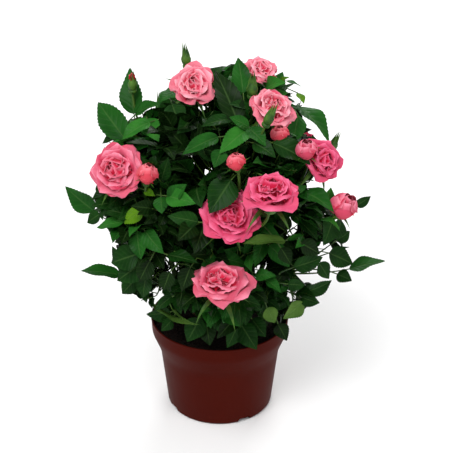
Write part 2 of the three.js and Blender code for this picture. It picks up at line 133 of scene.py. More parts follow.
class Flow:
    """An output socket of a shader tree, usable in plain arithmetic."""

    def __init__(self, tree, socket=None):
        self.tree = tree
        self.socket = socket

    def node(self, kind, settings=None, sockets=None, output=0):
        """Adds a node: its settings first, then the values or links of its sockets."""
        made = self.tree.nodes.new(kind)
        for name, value in (settings or {}).items():
            setattr(made, name, value)
        for name, value in (sockets or {}).items():
            if isinstance(value, Flow):
                self.tree.links.new(value.socket, made.inputs[name])
            else:
                made.inputs[name].default_value = value
        return Flow(self.tree, made.outputs[output])

    def math(self, operation, *others):
        return self.node("ShaderNodeMath", {"operation": operation}, dict(enumerate([self, *others])))

    def vector(self, operation, sockets):
        return self.node("ShaderNodeVectorMath", {"operation": operation}, {0: self, **sockets})

    def part(self, axis):
        return self.node("ShaderNodeSeparateXYZ", {}, {0: self}, axis)

    def spread(self, low, high, to_low=0.0, to_high=1.0):
        """Maps low..high to another range, and holds it there."""
        return self.node("ShaderNodeMapRange", {}, {0: self, 1: low, 2: high, 3: to_low, 4: to_high})

    def noise(self, scale, detail=3, roughness=0.5):
        """A cloudy pattern over this place, from 0 to 1."""
        sockets = {"Vector": self, "Scale": scale, "Detail": detail, "Roughness": roughness}
        return self.node("ShaderNodeTexNoise", {}, sockets)

    def blend(self, first, second):
        """The colour between two, each a plain colour or a Flow, at this share."""
        sides = {MIX_FIRST: first, MIX_SECOND: second}
        sockets = {k: v if isinstance(v, Flow) else (*v, 1) for k, v in sides.items()}
        return self.node("ShaderNodeMix", {"data_type": "RGBA"}, {"Factor": self, **sockets}, MIX_RESULT)

    def bump(self, distance, strength=1):
        """A normal roughened by this height."""
        return self.node("ShaderNodeBump", {}, {"Height": self, "Distance": distance, "Strength": strength})

    def __add__(self, other):
        return self.math("ADD", other)

    def __sub__(self, other):
        return self.math("SUBTRACT", other)

    def __mul__(self, other):
        return self.math("MULTIPLY", other)

    def __rsub__(self, other):
        return self.node("ShaderNodeMath", {"operation": "SUBTRACT"}, {0: other, 1: self})

    __radd__ = __add__
    __rmul__ = __mul__


# %% Colours and materials
def srgb(red, green, blue):
    """A colour as the eye reads it on a screen, 0 to 255, in the linear numbers that shaders use."""
    parts = [part / 255 for part in (red, green, blue)]
    return tuple(p / 12.92 if p < 0.0404 else ((p + 0.055) / 1.055) ** 2.4 for p in parts)


def material(name, paint):
    """A new material. paint gets a Flow and returns the values or links of the shader's sockets."""
    made = bpy.data.materials.new(name)
    made.use_nodes = True
    shader = made.node_tree.nodes["Principled BSDF"]
    for socket, value in paint(Flow(made.node_tree)).items():
        if isinstance(value, Flow):
            made.node_tree.links.new(value.socket, shader.inputs[socket])
        else:
            shader.inputs[socket].default_value = value
    return made


def object_place(flow):
    """The place on a piece, in metres, as the pattern of a finish reads it."""
    return flow.node("ShaderNodeTexCoord", output="Object")


print("colour check, a mid grey:", [round(c, 3) for c in srgb(128, 128, 128)])

# %% [markdown]
# ## Modelling helpers
#
# Leaflets, petals and sepals are all thin sheets. They could be sculpted, or cut from a plane and
# bent with a Simple Deform modifier, but a grid keeps its rows and columns: the rows are narrowed
# to the outline, the columns are lifted to fold or cup the sheet, and row after row is rolled back
# so that it curls. Each is modelled once, and copies are dealt out by the hundred.

# %% Select as by hand
def deselect_all():
    """An operator acts on all that is selected, so each model starts with nothing selected."""
    for thing in bpy.context.selected_objects:
        thing.select_set(False)


def make_active(thing):
    deselect_all()
    thing.select_set(True)
    bpy.context.view_layer.objects.active = thing


def finish_place(thing):
    """Writes an object's place, turn and size into its mesh, which leaves it at the origin."""
    make_active(thing)
    bpy.ops.object.transform_apply(location=True, rotation=True, scale=True)


def pick(thing, wanted):
    """In edit mode, selects the vertices whose index and place are wanted."""
    bpy.ops.mesh.select_all(action="DESELECT")
    shape = bmesh.from_edit_mesh(thing.data)
    for vertex in shape.verts:
        vertex.select_set(bool(wanted(vertex.index, vertex.co)))
    shape.select_flush_mode()
    bmesh.update_edit_mesh(thing.data)
    return [vertex.co.copy() for vertex in shape.verts if vertex.select]


# %% Shape a sheet
# Without a window, the operator that turns goes the other way round
ROLL_SIGN = -1
GRID_HALF = 0.5
NARROWEST = 0.004


def model_sheet(columns, rows, width, lift, roll, draw=lambda x, t: 0, pointed=True):
    """A sheet one unit long from its foot at the origin, along +Y, its face towards +Z.

    width(t) is its half width at a share of its length, lift(x, t) raises it at x from -1 to 1,
    roll is the turn in degrees at each row towards the face, and draw(x, t) pulls it along.
    """
    deselect_all()
    bpy.ops.mesh.primitive_grid_add(
        x_subdivisions=columns, y_subdivisions=rows, size=2 * GRID_HALF, location=(0, GRID_HALF, 0)
    )
    sheet = bpy.context.object
    finish_place(sheet)
    across = columns + 1
    bpy.ops.object.mode_set(mode="EDIT")
    bpy.ops.mesh.select_mode(type="VERT")
    for row in range(rows + 1):
        share = row / rows
        for column in range(across):
            x = 2 * column / columns - 1
            pick(sheet, lambda i, _: i == row * across + column)
            bpy.ops.transform.translate(value=(0, draw(x, share), lift(x, share)))
        pick(sheet, lambda i, _: i // across == row)
        half = max(width(share), NARROWEST)
        bpy.ops.transform.resize(value=(half / GRID_HALF, 1, 1), center_override=(0, share, 0))
    for row in range(1, rows + 1):
        hinge = pick(sheet, lambda i, _: i == (row - 1) * across + columns // 2)[0]
        pick(sheet, lambda i, _: i // across >= row)
        angle = ROLL_SIGN * math.radians(roll[row - 1])
        bpy.ops.transform.rotate(value=angle, orient_axis="X", center_override=hinge)
    if pointed:
        pick(sheet, lambda i, _: i // across == rows)
        bpy.ops.mesh.merge(type="CENTER")
    bpy.ops.object.mode_set(mode="OBJECT")
    return read_pattern(sheet)


# %% Keep a model as a pattern
def read_pattern(thing):
    """Takes a model's mesh into arrays, and removes the model."""
    mesh = thing.data
    places = np.empty(len(mesh.vertices) * 3)
    mesh.vertices.foreach_get("co", places)
    corners = np.empty(len(mesh.loops), int)
    mesh.loops.foreach_get("vertex_index", corners)
    counts = np.array([face.loop_total for face in mesh.polygons])
    uvs = np.zeros(len(mesh.loops) * 2)
    if mesh.uv_layers:
        mesh.uv_layers[0].uv.foreach_get("vector", uvs)
    bpy.data.objects.remove(thing)
    uvs = uvs.reshape(-1, 2)
    return SimpleNamespace(places=places.reshape(-1, 3), corners=corners, counts=counts, uvs=uvs)


def square_up(pattern, columns, rows):
    """Turns and sizes a curled sheet so that its foot and tip are one unit apart along +Y."""
    foot = pattern.places[columns // 2].copy()
    tip = pattern.places[min(rows * (columns + 1) + columns // 2, len(pattern.places) - 1)]
    chord = Vector(tip - foot)
    turn = Matrix.Rotation(-math.atan2(chord.z, chord.y), 3, "X")
    pattern.places = (pattern.places - foot) @ np.array(turn).T / chord.length
    return pattern


# %% Deal out copies as one joined mesh
# The closing export keeps a UV map of this name, so that all copies share one baked pattern.
UV_NAME = "OFBake"


class Joined:
    """Copies of patterns, each put in its place, that end as one mesh.

    Hundreds of objects would slow Blender down, while a joined mesh costs no more than its faces.
    """

    def __init__(self, name):
        self.name = name
        self.places, self.corners, self.counts, self.uvs = [], [], [], []
        self.held = 0

    def add(self, pattern, matrix, uvs=None):
        turn = np.array(matrix.to_3x3())
        self.places.append(pattern.places @ turn.T + np.array(matrix.translation))
        self.corners.append(pattern.corners + self.held)
        self.counts.append(pattern.counts)
        self.uvs.append(pattern.uvs if uvs is None else uvs)
        self.held += len(pattern.places)

    def finish(self, paint, slot, replaced):
        """Makes the mesh, smooth-shaded, and hands it to the frame."""
        mesh = bpy.data.meshes.new(self.name)
        places, corners = np.concatenate(self.places), np.concatenate(self.corners)
        counts = np.concatenate(self.counts)
        mesh.vertices.add(len(places))
        mesh.vertices.foreach_set("co", places.ravel())
        mesh.loops.add(len(corners))
        mesh.loops.foreach_set("vertex_index", corners)
        mesh.polygons.add(len(counts))
        mesh.polygons.foreach_set("loop_start", np.concatenate(([0], np.cumsum(counts)[:-1])))
        mesh.polygons.foreach_set("use_smooth", np.ones(len(counts), bool))
        mesh.update(calc_edges=True)
        mesh.uv_layers.new(name=UV_NAME).uv.foreach_set("vector", np.concatenate(self.uvs).ravel())
        mesh.validate()
        thing = bpy.data.objects.new(self.name, mesh)
        bpy.context.scene.collection.objects.link(thing)
        hand_over(thing, paint, slot, replaced)
        print(self.name, "triangles:", int((counts - 2).sum()))


# %% Hand a piece over, and place a copy
def hand_over(thing, paint, slot, replaced):
    """Gives a finished piece its material and ties it to the frame."""
    thing.data.materials.clear()
    thing.data.materials.append(paint)
    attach(thing, "root")
    if replaced:
        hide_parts(*replaced)
    print(thing.name, "is finished in", paint.name, "in the slot", slot)


def frame_matrix(foot, along, face, length, width=None):
    """Places a pattern: its foot, the way it runs, the way it faces, and its length and width."""
    y = along.normalized()
    z = (face - y * face.dot(y)).normalized()
    x = y.cross(z) * (length if width is None else width)
    turn = Matrix((x, y * length, z * length)).transposed()
    return Matrix.Translation(foot) @ turn.to_4x4()


# %% [markdown]
# ## The rule of growth
#
# The solids' crown grew by a seeded rule: a spiral lattice of spots on an egg, each spot given to
# the mass whose hub is nearest, and each leaf's stalk led in a bow from that mass's stem. The leaves
# could be read off the solids' meshes, but only a rule can be grown on to finer twigs, so it is
# written again here with the same numbers, and the leaves land where the solids have them.

# %% The numbers of the rule, the same as the solids'
GOLDEN_ANGLE = math.pi * (3 - math.sqrt(5))
GOLDEN_SHARE = (math.sqrt(5) - 1) / 2
UP = Vector((0, 0, 1))


def at(x, y, z):
    """A place given in millimetres."""
    return Vector((x, y, z)) * MM


SOIL_LEVEL = 75 * MM
SEAT_GAP = 0.3 * MM
STUMP_FOOT = 15 * MM
STUMP_HEAD = 12.5 * MM
STUMP_HEAD_HEIGHT = 14 * MM
CANE_FOOT = 2.6 * MM
CANE_TIP = 2 * MM
CANE_BOW = 0.36
CROWN_CENTRE = at(0, 0, 195)
CROWN_RADII = at(108, 102, 104)
SEED = 20417
OUTER_LEAVES, OUTER_REACH = 300, (0.8, 1.04)
INNER_LEAVES, INNER_REACH = 80, (0.5, 0.72)
LEAFLET_LENGTH = 38 * MM
LEAF_SIZES = (0.74, 1.07)
GATHER = 0.2
TILE_SHARE = 0.6
print("leaves of the rule:", OUTER_LEAVES, "outside and", INNER_LEAVES, "inside")

# %% The hubs of the masses of foliage
MASSES = {
    "top_left": at(-22, -6, 243),
    "top_right": at(28, -18, 243),
    "upper_left": at(-56, 6, 230),
    "left": at(-56, -44, 200),
    "right": at(56, -32, 224),
    "front": at(13, -60, 224),
    "front_low": at(-2, -68, 148),
    "left_low": at(-62, -24, 140),
    "right_low": at(62, -30, 142),
    "back_top": at(0, 38, 236),
    "back_left": at(-50, 46, 190),
    "back_right": at(54, 44, 192),
    "back_low": at(0, 62, 138),
}
FOLIAGE_NODES = [f"foliage_{name}" for name in MASSES]
CANE_NODES = [f"cane_{name}" for name in MASSES]
print("masses:", len(MASSES))

# %% [markdown]
# A pot rose carries flowers of every age. Each open and half-open bloom is given by its middle, the
# way it faces (degrees round from the front, degrees above the level), its radius, how far it is
# open, and which pink it has. A bud has no pink yet: it is given by its middle, the way it points,
# its radius and its length. The same few numbers place the flower, its stalk and the room that the
# leaves leave for it.

# %% The blooms and the buds
BLOOMS = {
    "left_bloom": (at(-81, -66, 254), (-25, 40), 24.5 * MM, 0.85, "pink"),
    "left_half": (at(-54, -78, 255), (25, 70), 8.6 * MM, 0.1, "coral"),
    "top_left_bloom": (at(-21, -20, 306), (-5, 42), 20 * MM, 0.7, "pale"),
    "top_right_bloom": (at(34, 10, 308), (30, 64), 16 * MM, 0.6, "pale"),
    "upper_right_bloom": (at(43, -32, 292), (35, 50), 21 * MM, 0.75, "pale"),
    "upper_right_half": (at(46, -46, 274), (-20, 60), 7.4 * MM, 0.2, "coral"),
    "right_bloom": (at(82, -50, 255), (38, 40), 19 * MM, 0.8, "deep"),
    "right_half": (at(66, -58, 266), (-15, 60), 8.6 * MM, 0.3, "pink"),
    "side_half": (at(96, -68, 223), (35, 58), 11.4 * MM, 0.35, "pink"),
    "centre_half": (at(12, -92, 271), (-20, 66), 7.2 * MM, 0.1, "coral"),
    "centre_right_bloom": (at(38, -106, 257), (12, 77), 23 * MM, 0.9, "deep"),
    "centre_bloom": (at(9, -94, 229), (15, 48), 24.5 * MM, 0.95, "deep"),
    "low_bloom": (at(1, -108, 183), (20, 81), 25 * MM, 1, "pink"),
    "back_top_bloom": (at(-14, 66, 277), (190, 56), 20 * MM, 0.8, "pale"),
    "back_left_bloom": (at(-84, 76, 214), (225, 45), 22 * MM, 0.9, "pink"),
    "back_right_bloom": (at(78, 74, 219), (130, 46), 20 * MM, 0.75, "deep"),
    "back_right_half": (at(46, 84, 236), (160, 62), 11 * MM, 0.3, "coral"),
    "back_low_bloom": (at(10, 100, 168), (175, 52), 22 * MM, 0.85, "pink"),
}
BUDS = {
    "top_left_bud": (at(-27, 4, 319), (-60, 82), 4 * MM, 17 * MM),
    "upper_left_bud": (at(-70, 8, 296), (0, 84), 3.8 * MM, 16 * MM),
    "top_right_bud": (at(25, -22, 304), (-10, 84), 4.6 * MM, 19 * MM),
    "upper_right_bud": (at(38, -60, 294), (60, 66), 4 * MM, 18 * MM),
    "back_left_bud": (at(-52, 74, 252), (200, 78), 4 * MM, 16 * MM),
    "back_right_bud": (at(96, 26, 236), (80, 68), 4 * MM, 16 * MM),
}
print("blooms:", len(BLOOMS), "buds:", len(BUDS))

# %% The tips of the leaves that reach furthest
REACHING_TIPS = [
    at(-76, 10, 302),
    at(-104, 10, 279),
    at(-124, -34, 212),
    at(-115, -40, 152),
    at(-62, -76, 128),
    at(34, -86, 98),
    at(72, -72, 116),
    at(136, -40, 157),
    at(118, -46, 223),
    at(88, -30, 258),
    at(17, 0, 318),
    at(-4, -118, 236),
    at(124, 24, 190),
    at(-112, 48, 200),
    at(46, 116, 190),
    at(-40, 112, 150),
]
print("reaching leaves:", len(REACHING_TIPS))


# %% A seeded draw and a bow
class Draws:
    """A seeded series of numbers from 0 to 1, the same on every machine."""

    FACTOR = 16807
    MODULUS = 2**31 - 1

    def __init__(self, seed):
        self.state = seed

    def next(self):
        self.state = self.state * self.FACTOR % self.MODULUS
        return self.state / self.MODULUS

    def between(self, low, high):
        return low + (high - low) * self.next()

    def way(self):
        """A step in any direction, up to one unit along each axis."""
        return Vector((self.between(-1, 1), self.between(-1, 1), self.between(-1, 1)))


class Bow:
    """A quadratic Bezier curve, read by the share of its length."""

    STEPS = 60
    ASIDE = 0.02

    def __init__(self, foot, control, tip):
        t = np.linspace(0, 1, self.STEPS + 1)[:, None]
        foot, control, tip = (np.array(p) for p in (foot, control, tip))
        self.points = foot * (1 - t) ** 2 + control * 2 * t * (1 - t) + tip * t**2
        steps = np.linalg.norm(np.diff(self.points, axis=0), axis=1)
        self.lengths = np.concatenate(([0], np.cumsum(steps)))
        self.length = float(self.lengths[-1])

    def at(self, share):
        reach = share * self.length
        return Vector([np.interp(reach, self.lengths, self.points[:, i]) for i in range(3)])

    def way(self, share):
        return (self.at(min(1, share + self.ASIDE)) - self.at(max(0, share - self.ASIDE))).normalized()


# %% Directions in the crown
def facing(way):
    """A direction given in degrees round from the front and above the level."""
    round_front, above = (math.radians(angle) for angle in way)
    level = math.cos(above)
    return Vector((math.sin(round_front) * level, -math.cos(round_front) * level, math.sin(above)))


def square_to(way, axis):
    """The part of a direction that is square to an axis."""
    return (way - axis * way.dot(axis)).normalized()


def mass_at(point):
    """The mass whose hub is nearest."""
    return min(MASSES, key=lambda name: (point - MASSES[name]).length)


def by_radii(off):
    """A step from the crown's centre, as shares of the crown's radii."""
    return Vector((off.x / CROWN_RADII.x, off.y / CROWN_RADII.y, off.z / CROWN_RADII.z))


def outward(point):
    """The way straight out of the crown's egg at a point."""
    return by_radii(by_radii(point - CROWN_CENTRE)).normalized()


# %% Canes, stems and stalks
SPACE_GAP = 0.9 * MM
ENTRY_MARGIN = 4 * MM
ENTRY_SHARES = 0.5, 0.92
ENTRY_STEP = 0.02
# How far from upright a cane starts, in degrees: by the lean of its mass, and between two ends
FLATTEST_START = 102
START_BY_LEAN = 1.9
START_AT_LEAST = 12
STEM_BOW = 0.5
# The first place along a stem that a stalk may take, and the reach of all of them
STATIONS = 0.1, 0.88
head_centre = Vector((0, 0, SOIL_LEVEL + SEAT_GAP + STUMP_HEAD_HEIGHT))


def in_space(name, point, margin):
    """Whether a point lies in the space that belongs to a mass."""
    hub = MASSES[name]
    for other, place in MASSES.items():
        if other == name:
            continue
        way = (place - hub).normalized()
        if (point - (hub + place) / 2).dot(way) >= -SPACE_GAP / 2 - margin:
            return False
    return True


def entry_of(name):
    """Where the cane that carries a mass comes into the space of that mass."""
    share, last = ENTRY_SHARES
    while share < last and not in_space(name, head_centre.lerp(MASSES[name], share), ENTRY_MARGIN):
        share += ENTRY_STEP
    return head_centre.lerp(MASSES[name], share)


def cane_curve(name):
    """A cane's bow: it leaves the knuckle the more sideways, the further out its mass lies."""
    entry = entry_of(name)
    reach = entry - head_centre
    level = Vector((reach.x, reach.y, 0)).normalized()
    lean = math.degrees(math.atan2(math.hypot(reach.x, reach.y), reach.z))
    start = math.radians(min(FLATTEST_START, lean * START_BY_LEAN + START_AT_LEAST))
    outwards = level * math.sin(start) + UP * math.cos(start)
    foot = head_centre + outwards * (STUMP_HEAD + SEAT_GAP)
    return Bow(foot, foot + outwards * (entry - foot).length * CANE_BOW, entry)


def stem_curve(name):
    """The stem that leads a cane on to the hub of its mass."""
    cane = canes[name]
    heading = cane.way(1)
    foot = cane.at(1) + heading * SEAT_GAP
    return Bow(foot, foot + heading * (MASSES[name] - foot).length * STEM_BOW, MASSES[name])


canes = {name: cane_curve(name) for name in MASSES}
stems = {name: stem_curve(name) for name in MASSES}


def stalk_curve(name, station, end, heading, bend):
    """A stalk from its station on a stem to an end that it reaches with this heading."""
    foot = stems[name].at(station)
    return Bow(foot, end - heading * (end - foot).length * bend, end)


def station_of(order):
    """Where the next stalk leaves a stem, spread evenly by the golden share."""
    first, reach = STATIONS
    return first + reach * ((order * GOLDEN_SHARE) % 1)


print("canes:", [round(curve.length / MM) for curve in canes.values()], "mm long")

# %% [markdown]
# ## The pot
#
# A nursery pot is a thin moulded cup with a flared collar, so that pots stack. It could be spun
# from a profile, but then the outline would be a mesh of its own first. Here a disc is drawn up ring
# by ring, as a potter pulls a wall: extrude the rim, then set its width, for each ring up the
# outside and down the inside again. Each ring is one pair of numbers, its radius and its height.

# %% The pot's outline
POT_HEIGHT = 85 * MM
RIM_RADIUS = 60 * MM
BAND_RADIUS, BAND_FOOT = 59.4 * MM, 73 * MM
FLARE_RADIUS, FLARE_FOOT = 52.2 * MM, 55 * MM
BASE_RADIUS = 46.4 * MM
BASE_ROUNDING = 3 * MM
WALL = 1.2 * MM
LIP = 0.8 * MM
LIP_TURNS = range(-60, 121, 30)
FOOT_RELIEF = 0.3 * MM
FLARE_SOFTNESS = 5 * MM
BAND_SOFTNESS = 3 * MM
FLOOR_THICKNESS = 2.4 * MM
POT_SIDES = 128


def soft_corner(before, corner, after, reach, steps=4):
    """Rings that round off the corner of an outline."""
    corner = np.array(corner)
    start = corner + (np.array(before) - corner) / np.linalg.norm(np.array(before) - corner) * reach
    end = corner + (np.array(after) - corner) / np.linalg.norm(np.array(after) - corner) * reach
    for t in np.linspace(0, 1, steps + 1):
        yield tuple(start * (1 - t) ** 2 + corner * 2 * t * (1 - t) + end * t**2)


def pot_rings():
    """The pot's outline as (radius, height), from the edge of the foot up and over the lip."""
    foot, base = (BASE_RADIUS - 2 * BASE_ROUNDING, 0), (BASE_RADIUS - FOOT_RELIEF, 0)
    flare, band = (FLARE_RADIUS, FLARE_FOOT), (BAND_RADIUS, BAND_FOOT)
    lip = (RIM_RADIUS - LIP / 2, POT_HEIGHT - 2 * LIP)
    yield from soft_corner(foot, base, flare, BASE_ROUNDING)
    yield from soft_corner(base, flare, band, FLARE_SOFTNESS)
    yield from soft_corner(flare, band, lip, BAND_SOFTNESS)
    for turn in LIP_TURNS:
        angle = math.radians(turn)
        yield RIM_RADIUS - LIP + LIP * math.cos(angle), POT_HEIGHT - LIP + LIP * math.sin(angle)
    yield RIM_RADIUS - LIP - WALL, POT_HEIGHT - 3 * LIP
    yield BAND_RADIUS - WALL, BAND_FOOT
    yield FLARE_RADIUS - WALL, FLARE_FOOT
    yield BASE_RADIUS - WALL, BASE_ROUNDING
    yield BASE_RADIUS - BASE_ROUNDING, FLOOR_THICKNESS


# %% Draw up the pot
def draw_up(rings, radius, height):
    """Extrudes the selected rim once for each ring, closes the last one, and turns the faces out."""
    for ring_radius, ring_height in rings:
        bpy.ops.mesh.extrude_edges_move(TRANSFORM_OT_translate={"value": (0, 0, ring_height - height)})
        widen = ring_radius / radius
        bpy.ops.transform.resize(value=(widen, widen, 1), center_override=(0, 0, ring_height))
        radius, height = ring_radius, ring_height
    bpy.ops.mesh.edge_face_add()
    bpy.ops.mesh.select_all(action="SELECT")
    bpy.ops.mesh.normals_make_consistent(inside=False)


deselect_all()
foot_radius = BASE_RADIUS - 2 * BASE_ROUNDING
bpy.ops.mesh.primitive_circle_add(vertices=POT_SIDES, radius=foot_radius, fill_type="NGON")
pot = bpy.context.object
pot.name = "nursery_pot"
bpy.ops.object.mode_set(mode="EDIT")
bpy.ops.mesh.select_mode(type="EDGE")
bpy.ops.mesh.select_all(action="SELECT")
draw_up(pot_rings(), foot_radius, 0)
bpy.ops.object.mode_set(mode="OBJECT")
print("pot faces:", len(pot.data.polygons), "size:", [round(d / MM) for d in pot.dimensions])

# %% [markdown]
# Four notches in the edge of the foot let the water out on a flat bench. Faces could be deleted and
# the holes bridged by hand, but a bevelled block cut away with a Boolean modifier leaves the soft
# corners of a mould at once.

# %% Cut the drain notches
DRAIN_ANGLES = [math.radians(angle) for angle in (-62, 28, 118, 208)]
DRAIN_SIZE = (12 * MM, 15 * MM, 8 * MM)
DRAIN_MIDDLE = 46.5 * MM
DRAIN_ROUNDING = 1.5 * MM
SMOOTH_UP_TO = math.radians(35)

for turn in DRAIN_ANGLES:
    deselect_all()
    place = (DRAIN_MIDDLE * math.sin(turn), -DRAIN_MIDDLE * math.cos(turn), 0)
    bpy.ops.mesh.primitive_cube_add(size=1, location=place, rotation=(0, 0, turn), scale=DRAIN_SIZE)
    notch = bpy.context.object
    finish_place(notch)
    bpy.ops.object.mode_set(mode="EDIT")
    bpy.ops.mesh.bevel(offset=DRAIN_ROUNDING, segments=3)
    bpy.ops.object.mode_set(mode="OBJECT")
    cut = pot.modifiers.new("drain", "BOOLEAN")
    cut.operation = "DIFFERENCE"
    cut.object = notch
    make_active(pot)
    bpy.ops.object.modifier_apply(modifier=cut.name)
    bpy.data.objects.remove(notch)
bpy.ops.object.shade_smooth_by_angle(angle=SMOOTH_UP_TO)
print("pot faces after the drains:", len(pot.data.polygons))

# %% [markdown]
# Moulded plastic is not one flat colour: it is a touch paler where hands and shelves have rubbed
# it, and faint rings run round it from the mould. A painted picture could hold both, but patterns on
# Object coordinates need no unwrapping: the rubbed marks are noise, and the rings are a wave along
# the height that only the bump can see.

# %% Finish the pot
POT_BROWN = srgb(72, 17, 8)
POT_SHADE = srgb(62, 13, 6)
POT_RUBBED = srgb(92, 32, 22)


def paint_pot(flow):
    place = object_place(flow)
    broad = place.noise(18, 4, 0.6)
    fine = place.noise(900, 2)
    marks = place.noise(90, 5, 0.7)
    bands = {"wave_type": "BANDS", "bands_direction": "Z"}
    rings = flow.node("ShaderNodeTexWave", bands, {"Vector": place, "Scale": 160, "Distortion": 0.6}, 1)
    brown = broad.blend(POT_SHADE, POT_BROWN)
    return {
        "Base Color": marks.spread(0.62, 0.8, 0, 0.3).blend(brown, POT_RUBBED),
        "Roughness": broad * 0.12 + marks * 0.12 + 0.36,
        "Normal": (fine * 0.5 + rings * 0.3 + marks * 0.6).bump(0.00015, 0.6),
        "Specular IOR Level": 0.03,
    }


hand_over(pot, material("brick_brown_plastic", paint_pot), "pot", ["pot"])

# %% [markdown]
# ## The peat
#
# Peat is a bed of crumbs and fibres, seen only through the gaps between leaf and rim. A bump on a
# flat disc would show as flat along the rim, so the disc is ringed by insets and lumped by two noise
# modifiers, one for the lumps and one for the grains. A few hundred loose crumbs lie on it.

# %% Model the bed of peat
PEAT_RADIUS = 57.4 * MM
PEAT_SIDES = 96
PEAT_RINGS, RING_BREADTH = 36, 1.5 * MM
PEAT_EDGE = 1 * MM
NEAR = 0.1 * MM
PEAT_SKIRT = ((50.4 * MM, FLARE_FOOT), (48.6 * MM, 40 * MM))

deselect_all()
bpy.ops.mesh.primitive_circle_add(
    vertices=PEAT_SIDES, radius=PEAT_RADIUS, fill_type="NGON", location=(0, 0, SOIL_LEVEL)
)
peat = bpy.context.object
peat.name = "peat_bed"
finish_place(peat)
bpy.ops.object.mode_set(mode="EDIT")
bpy.ops.mesh.select_all(action="SELECT")
for _ in range(PEAT_RINGS):
    bpy.ops.mesh.inset(thickness=RING_BREADTH, depth=0)
bpy.ops.mesh.merge(type="CENTER")
pick(peat, lambda _, co: math.hypot(co.x, co.y) > PEAT_RADIUS - NEAR)
bpy.ops.mesh.select_mode(type="EDGE")
draw_up(PEAT_SKIRT, PEAT_RADIUS, SOIL_LEVEL)
bpy.ops.mesh.select_mode(type="VERT")
bpy.ops.object.mode_set(mode="OBJECT")
print("peat faces:", len(peat.data.polygons))


# %% Lump the bed
def lump(thing, name, size, strength, group=""):
    """Moves a surface in and out by a cloudy noise of this size."""
    clouds = bpy.data.textures.new(name, "CLOUDS")
    clouds.noise_scale = size
    clouds.noise_depth = 3
    push = thing.modifiers.new(name, "DISPLACE")
    push.texture = clouds
    push.strength = strength
    push.mid_level = 0.5
    push.vertex_group = group
    make_active(thing)
    bpy.ops.object.modifier_apply(modifier=name)


bed = peat.vertex_groups.new(name="bed")
top = [vertex for vertex in peat.data.vertices if vertex.co.z > SOIL_LEVEL - NEAR]
inner = [vertex.index for vertex in top if math.hypot(vertex.co.x, vertex.co.y) < PEAT_RADIUS - PEAT_EDGE]
bed.add(inner, 1, "REPLACE")
lump(peat, "peat_lumps", size=7 * MM, strength=4 * MM, group="bed")
lump(peat, "peat_grains", size=1.6 * MM, strength=1.6 * MM, group="bed")
bpy.ops.object.shade_smooth()
print("lumped vertices:", len(inner))

# %% [markdown]
# Damp peat is nearly black, with browner dry crumbs. One fine noise does for the colour and the
# bump, so that the pale spots are also the raised ones.

# %% Finish the peat
PEAT_DARK = srgb(16, 10, 8)
PEAT_BROWN = srgb(48, 31, 22)


def paint_peat(flow):
    grains = object_place(flow).noise(700, 5, 0.65)
    return {
        "Base Color": grains.spread(0.45, 0.75).blend(PEAT_DARK, PEAT_BROWN),
        "Roughness": 0.95,
        "Normal": grains.bump(0.001),
        "Specular IOR Level": 0.15,
    }


peat_paint = material("damp_peat", paint_peat)
hand_over(peat, peat_paint, "soil", ["soil"])

# %% [markdown]
# Loose crumbs break up the smooth noise of the bed. A sphere of twenty faces, squashed a little, is
# enough for each, and the golden angle strews them with no rows.

# %% Strew loose crumbs
CRUMBS = 520
CRUMB_SHAPE = (1, 0.7, 0.6)
CRUMB_SIZES = 0.5, 1.7
CRUMB_SUNK = 0.3
CRUMBS_INSIDE = 3 * MM

deselect_all()
bpy.ops.mesh.primitive_ico_sphere_add(subdivisions=1, radius=1, scale=CRUMB_SHAPE)
finish_place(bpy.context.object)
crumb = read_pattern(bpy.context.object)
crumbs = Joined("peat_crumbs")
draws = Draws(SEED + 7)
for i in range(CRUMBS):
    spread = math.sqrt((i + 0.5) / CRUMBS) * (PEAT_RADIUS - CRUMBS_INSIDE)
    turn = i * GOLDEN_ANGLE
    size = draws.between(*CRUMB_SIZES) * MM
    place = Vector((spread * math.cos(turn), spread * math.sin(turn), SOIL_LEVEL + size * CRUMB_SUNK))
    spin = Quaternion(draws.way(), draws.between(0, 6)).to_matrix().to_4x4()
    crumbs.add(crumb, Matrix.Translation(place) @ spin @ Matrix.Scale(size, 4))
crumbs.finish(peat_paint, "soil", [])

# %% [markdown]
# ## The canes
#
# A pot rose is several cuttings in one pot: green canes that come up from a knuckle at the soil and
# bow outwards, browner and rougher at the foot. The Skin modifier could grow them on a net of edges,
# but it makes ugly forks where many canes meet. So they are drawn as bevelled curves along the
# rule's bows, joined with the knuckle, fused by a voxel remesh, which leaves no seams in the forks,
# and lumped a little for the bark.

# %% Draw the canes
CANE_STEPS = 14
CANE_ROUNDNESS = 3
STEM_TIP = 1.2 * MM
STEM_ROOT = 0.97
INTO_KNUCKLE = 6 * MM


def draw_cane(name, bow, foot, tip, root):
    """A bevelled curve along a bow, thinner towards its tip, led on from a root."""
    shares = [i / CANE_STEPS for i in range(CANE_STEPS + 1)]
    places = [(root, foot)] + [(bow.at(share), foot + (tip - foot) * share) for share in shares]
    curve = bpy.data.curves.new(name, "CURVE")
    curve.dimensions = "3D"
    curve.bevel_depth = 1
    curve.bevel_resolution = CANE_ROUNDNESS
    curve.use_fill_caps = True
    spline = curve.splines.new("POLY")
    spline.points.add(len(places) - 1)
    for point, (place, radius) in zip(spline.points, places):
        point.co = (*place, 1)
        point.radius = radius
    drawn = bpy.data.objects.new(name, curve)
    bpy.context.scene.collection.objects.link(drawn)
    return drawn


wood = []
for name, bow in canes.items():
    root = bow.at(0) + (head_centre - bow.at(0)).normalized() * INTO_KNUCKLE
    wood.append(draw_cane(f"wood_{name}", bow, CANE_FOOT, CANE_TIP, root))
    wood.append(draw_cane(f"stem_{name}", stems[name], CANE_TIP, STEM_TIP, bow.at(STEM_ROOT)))
print("drawn:", len(wood), "canes and stems")

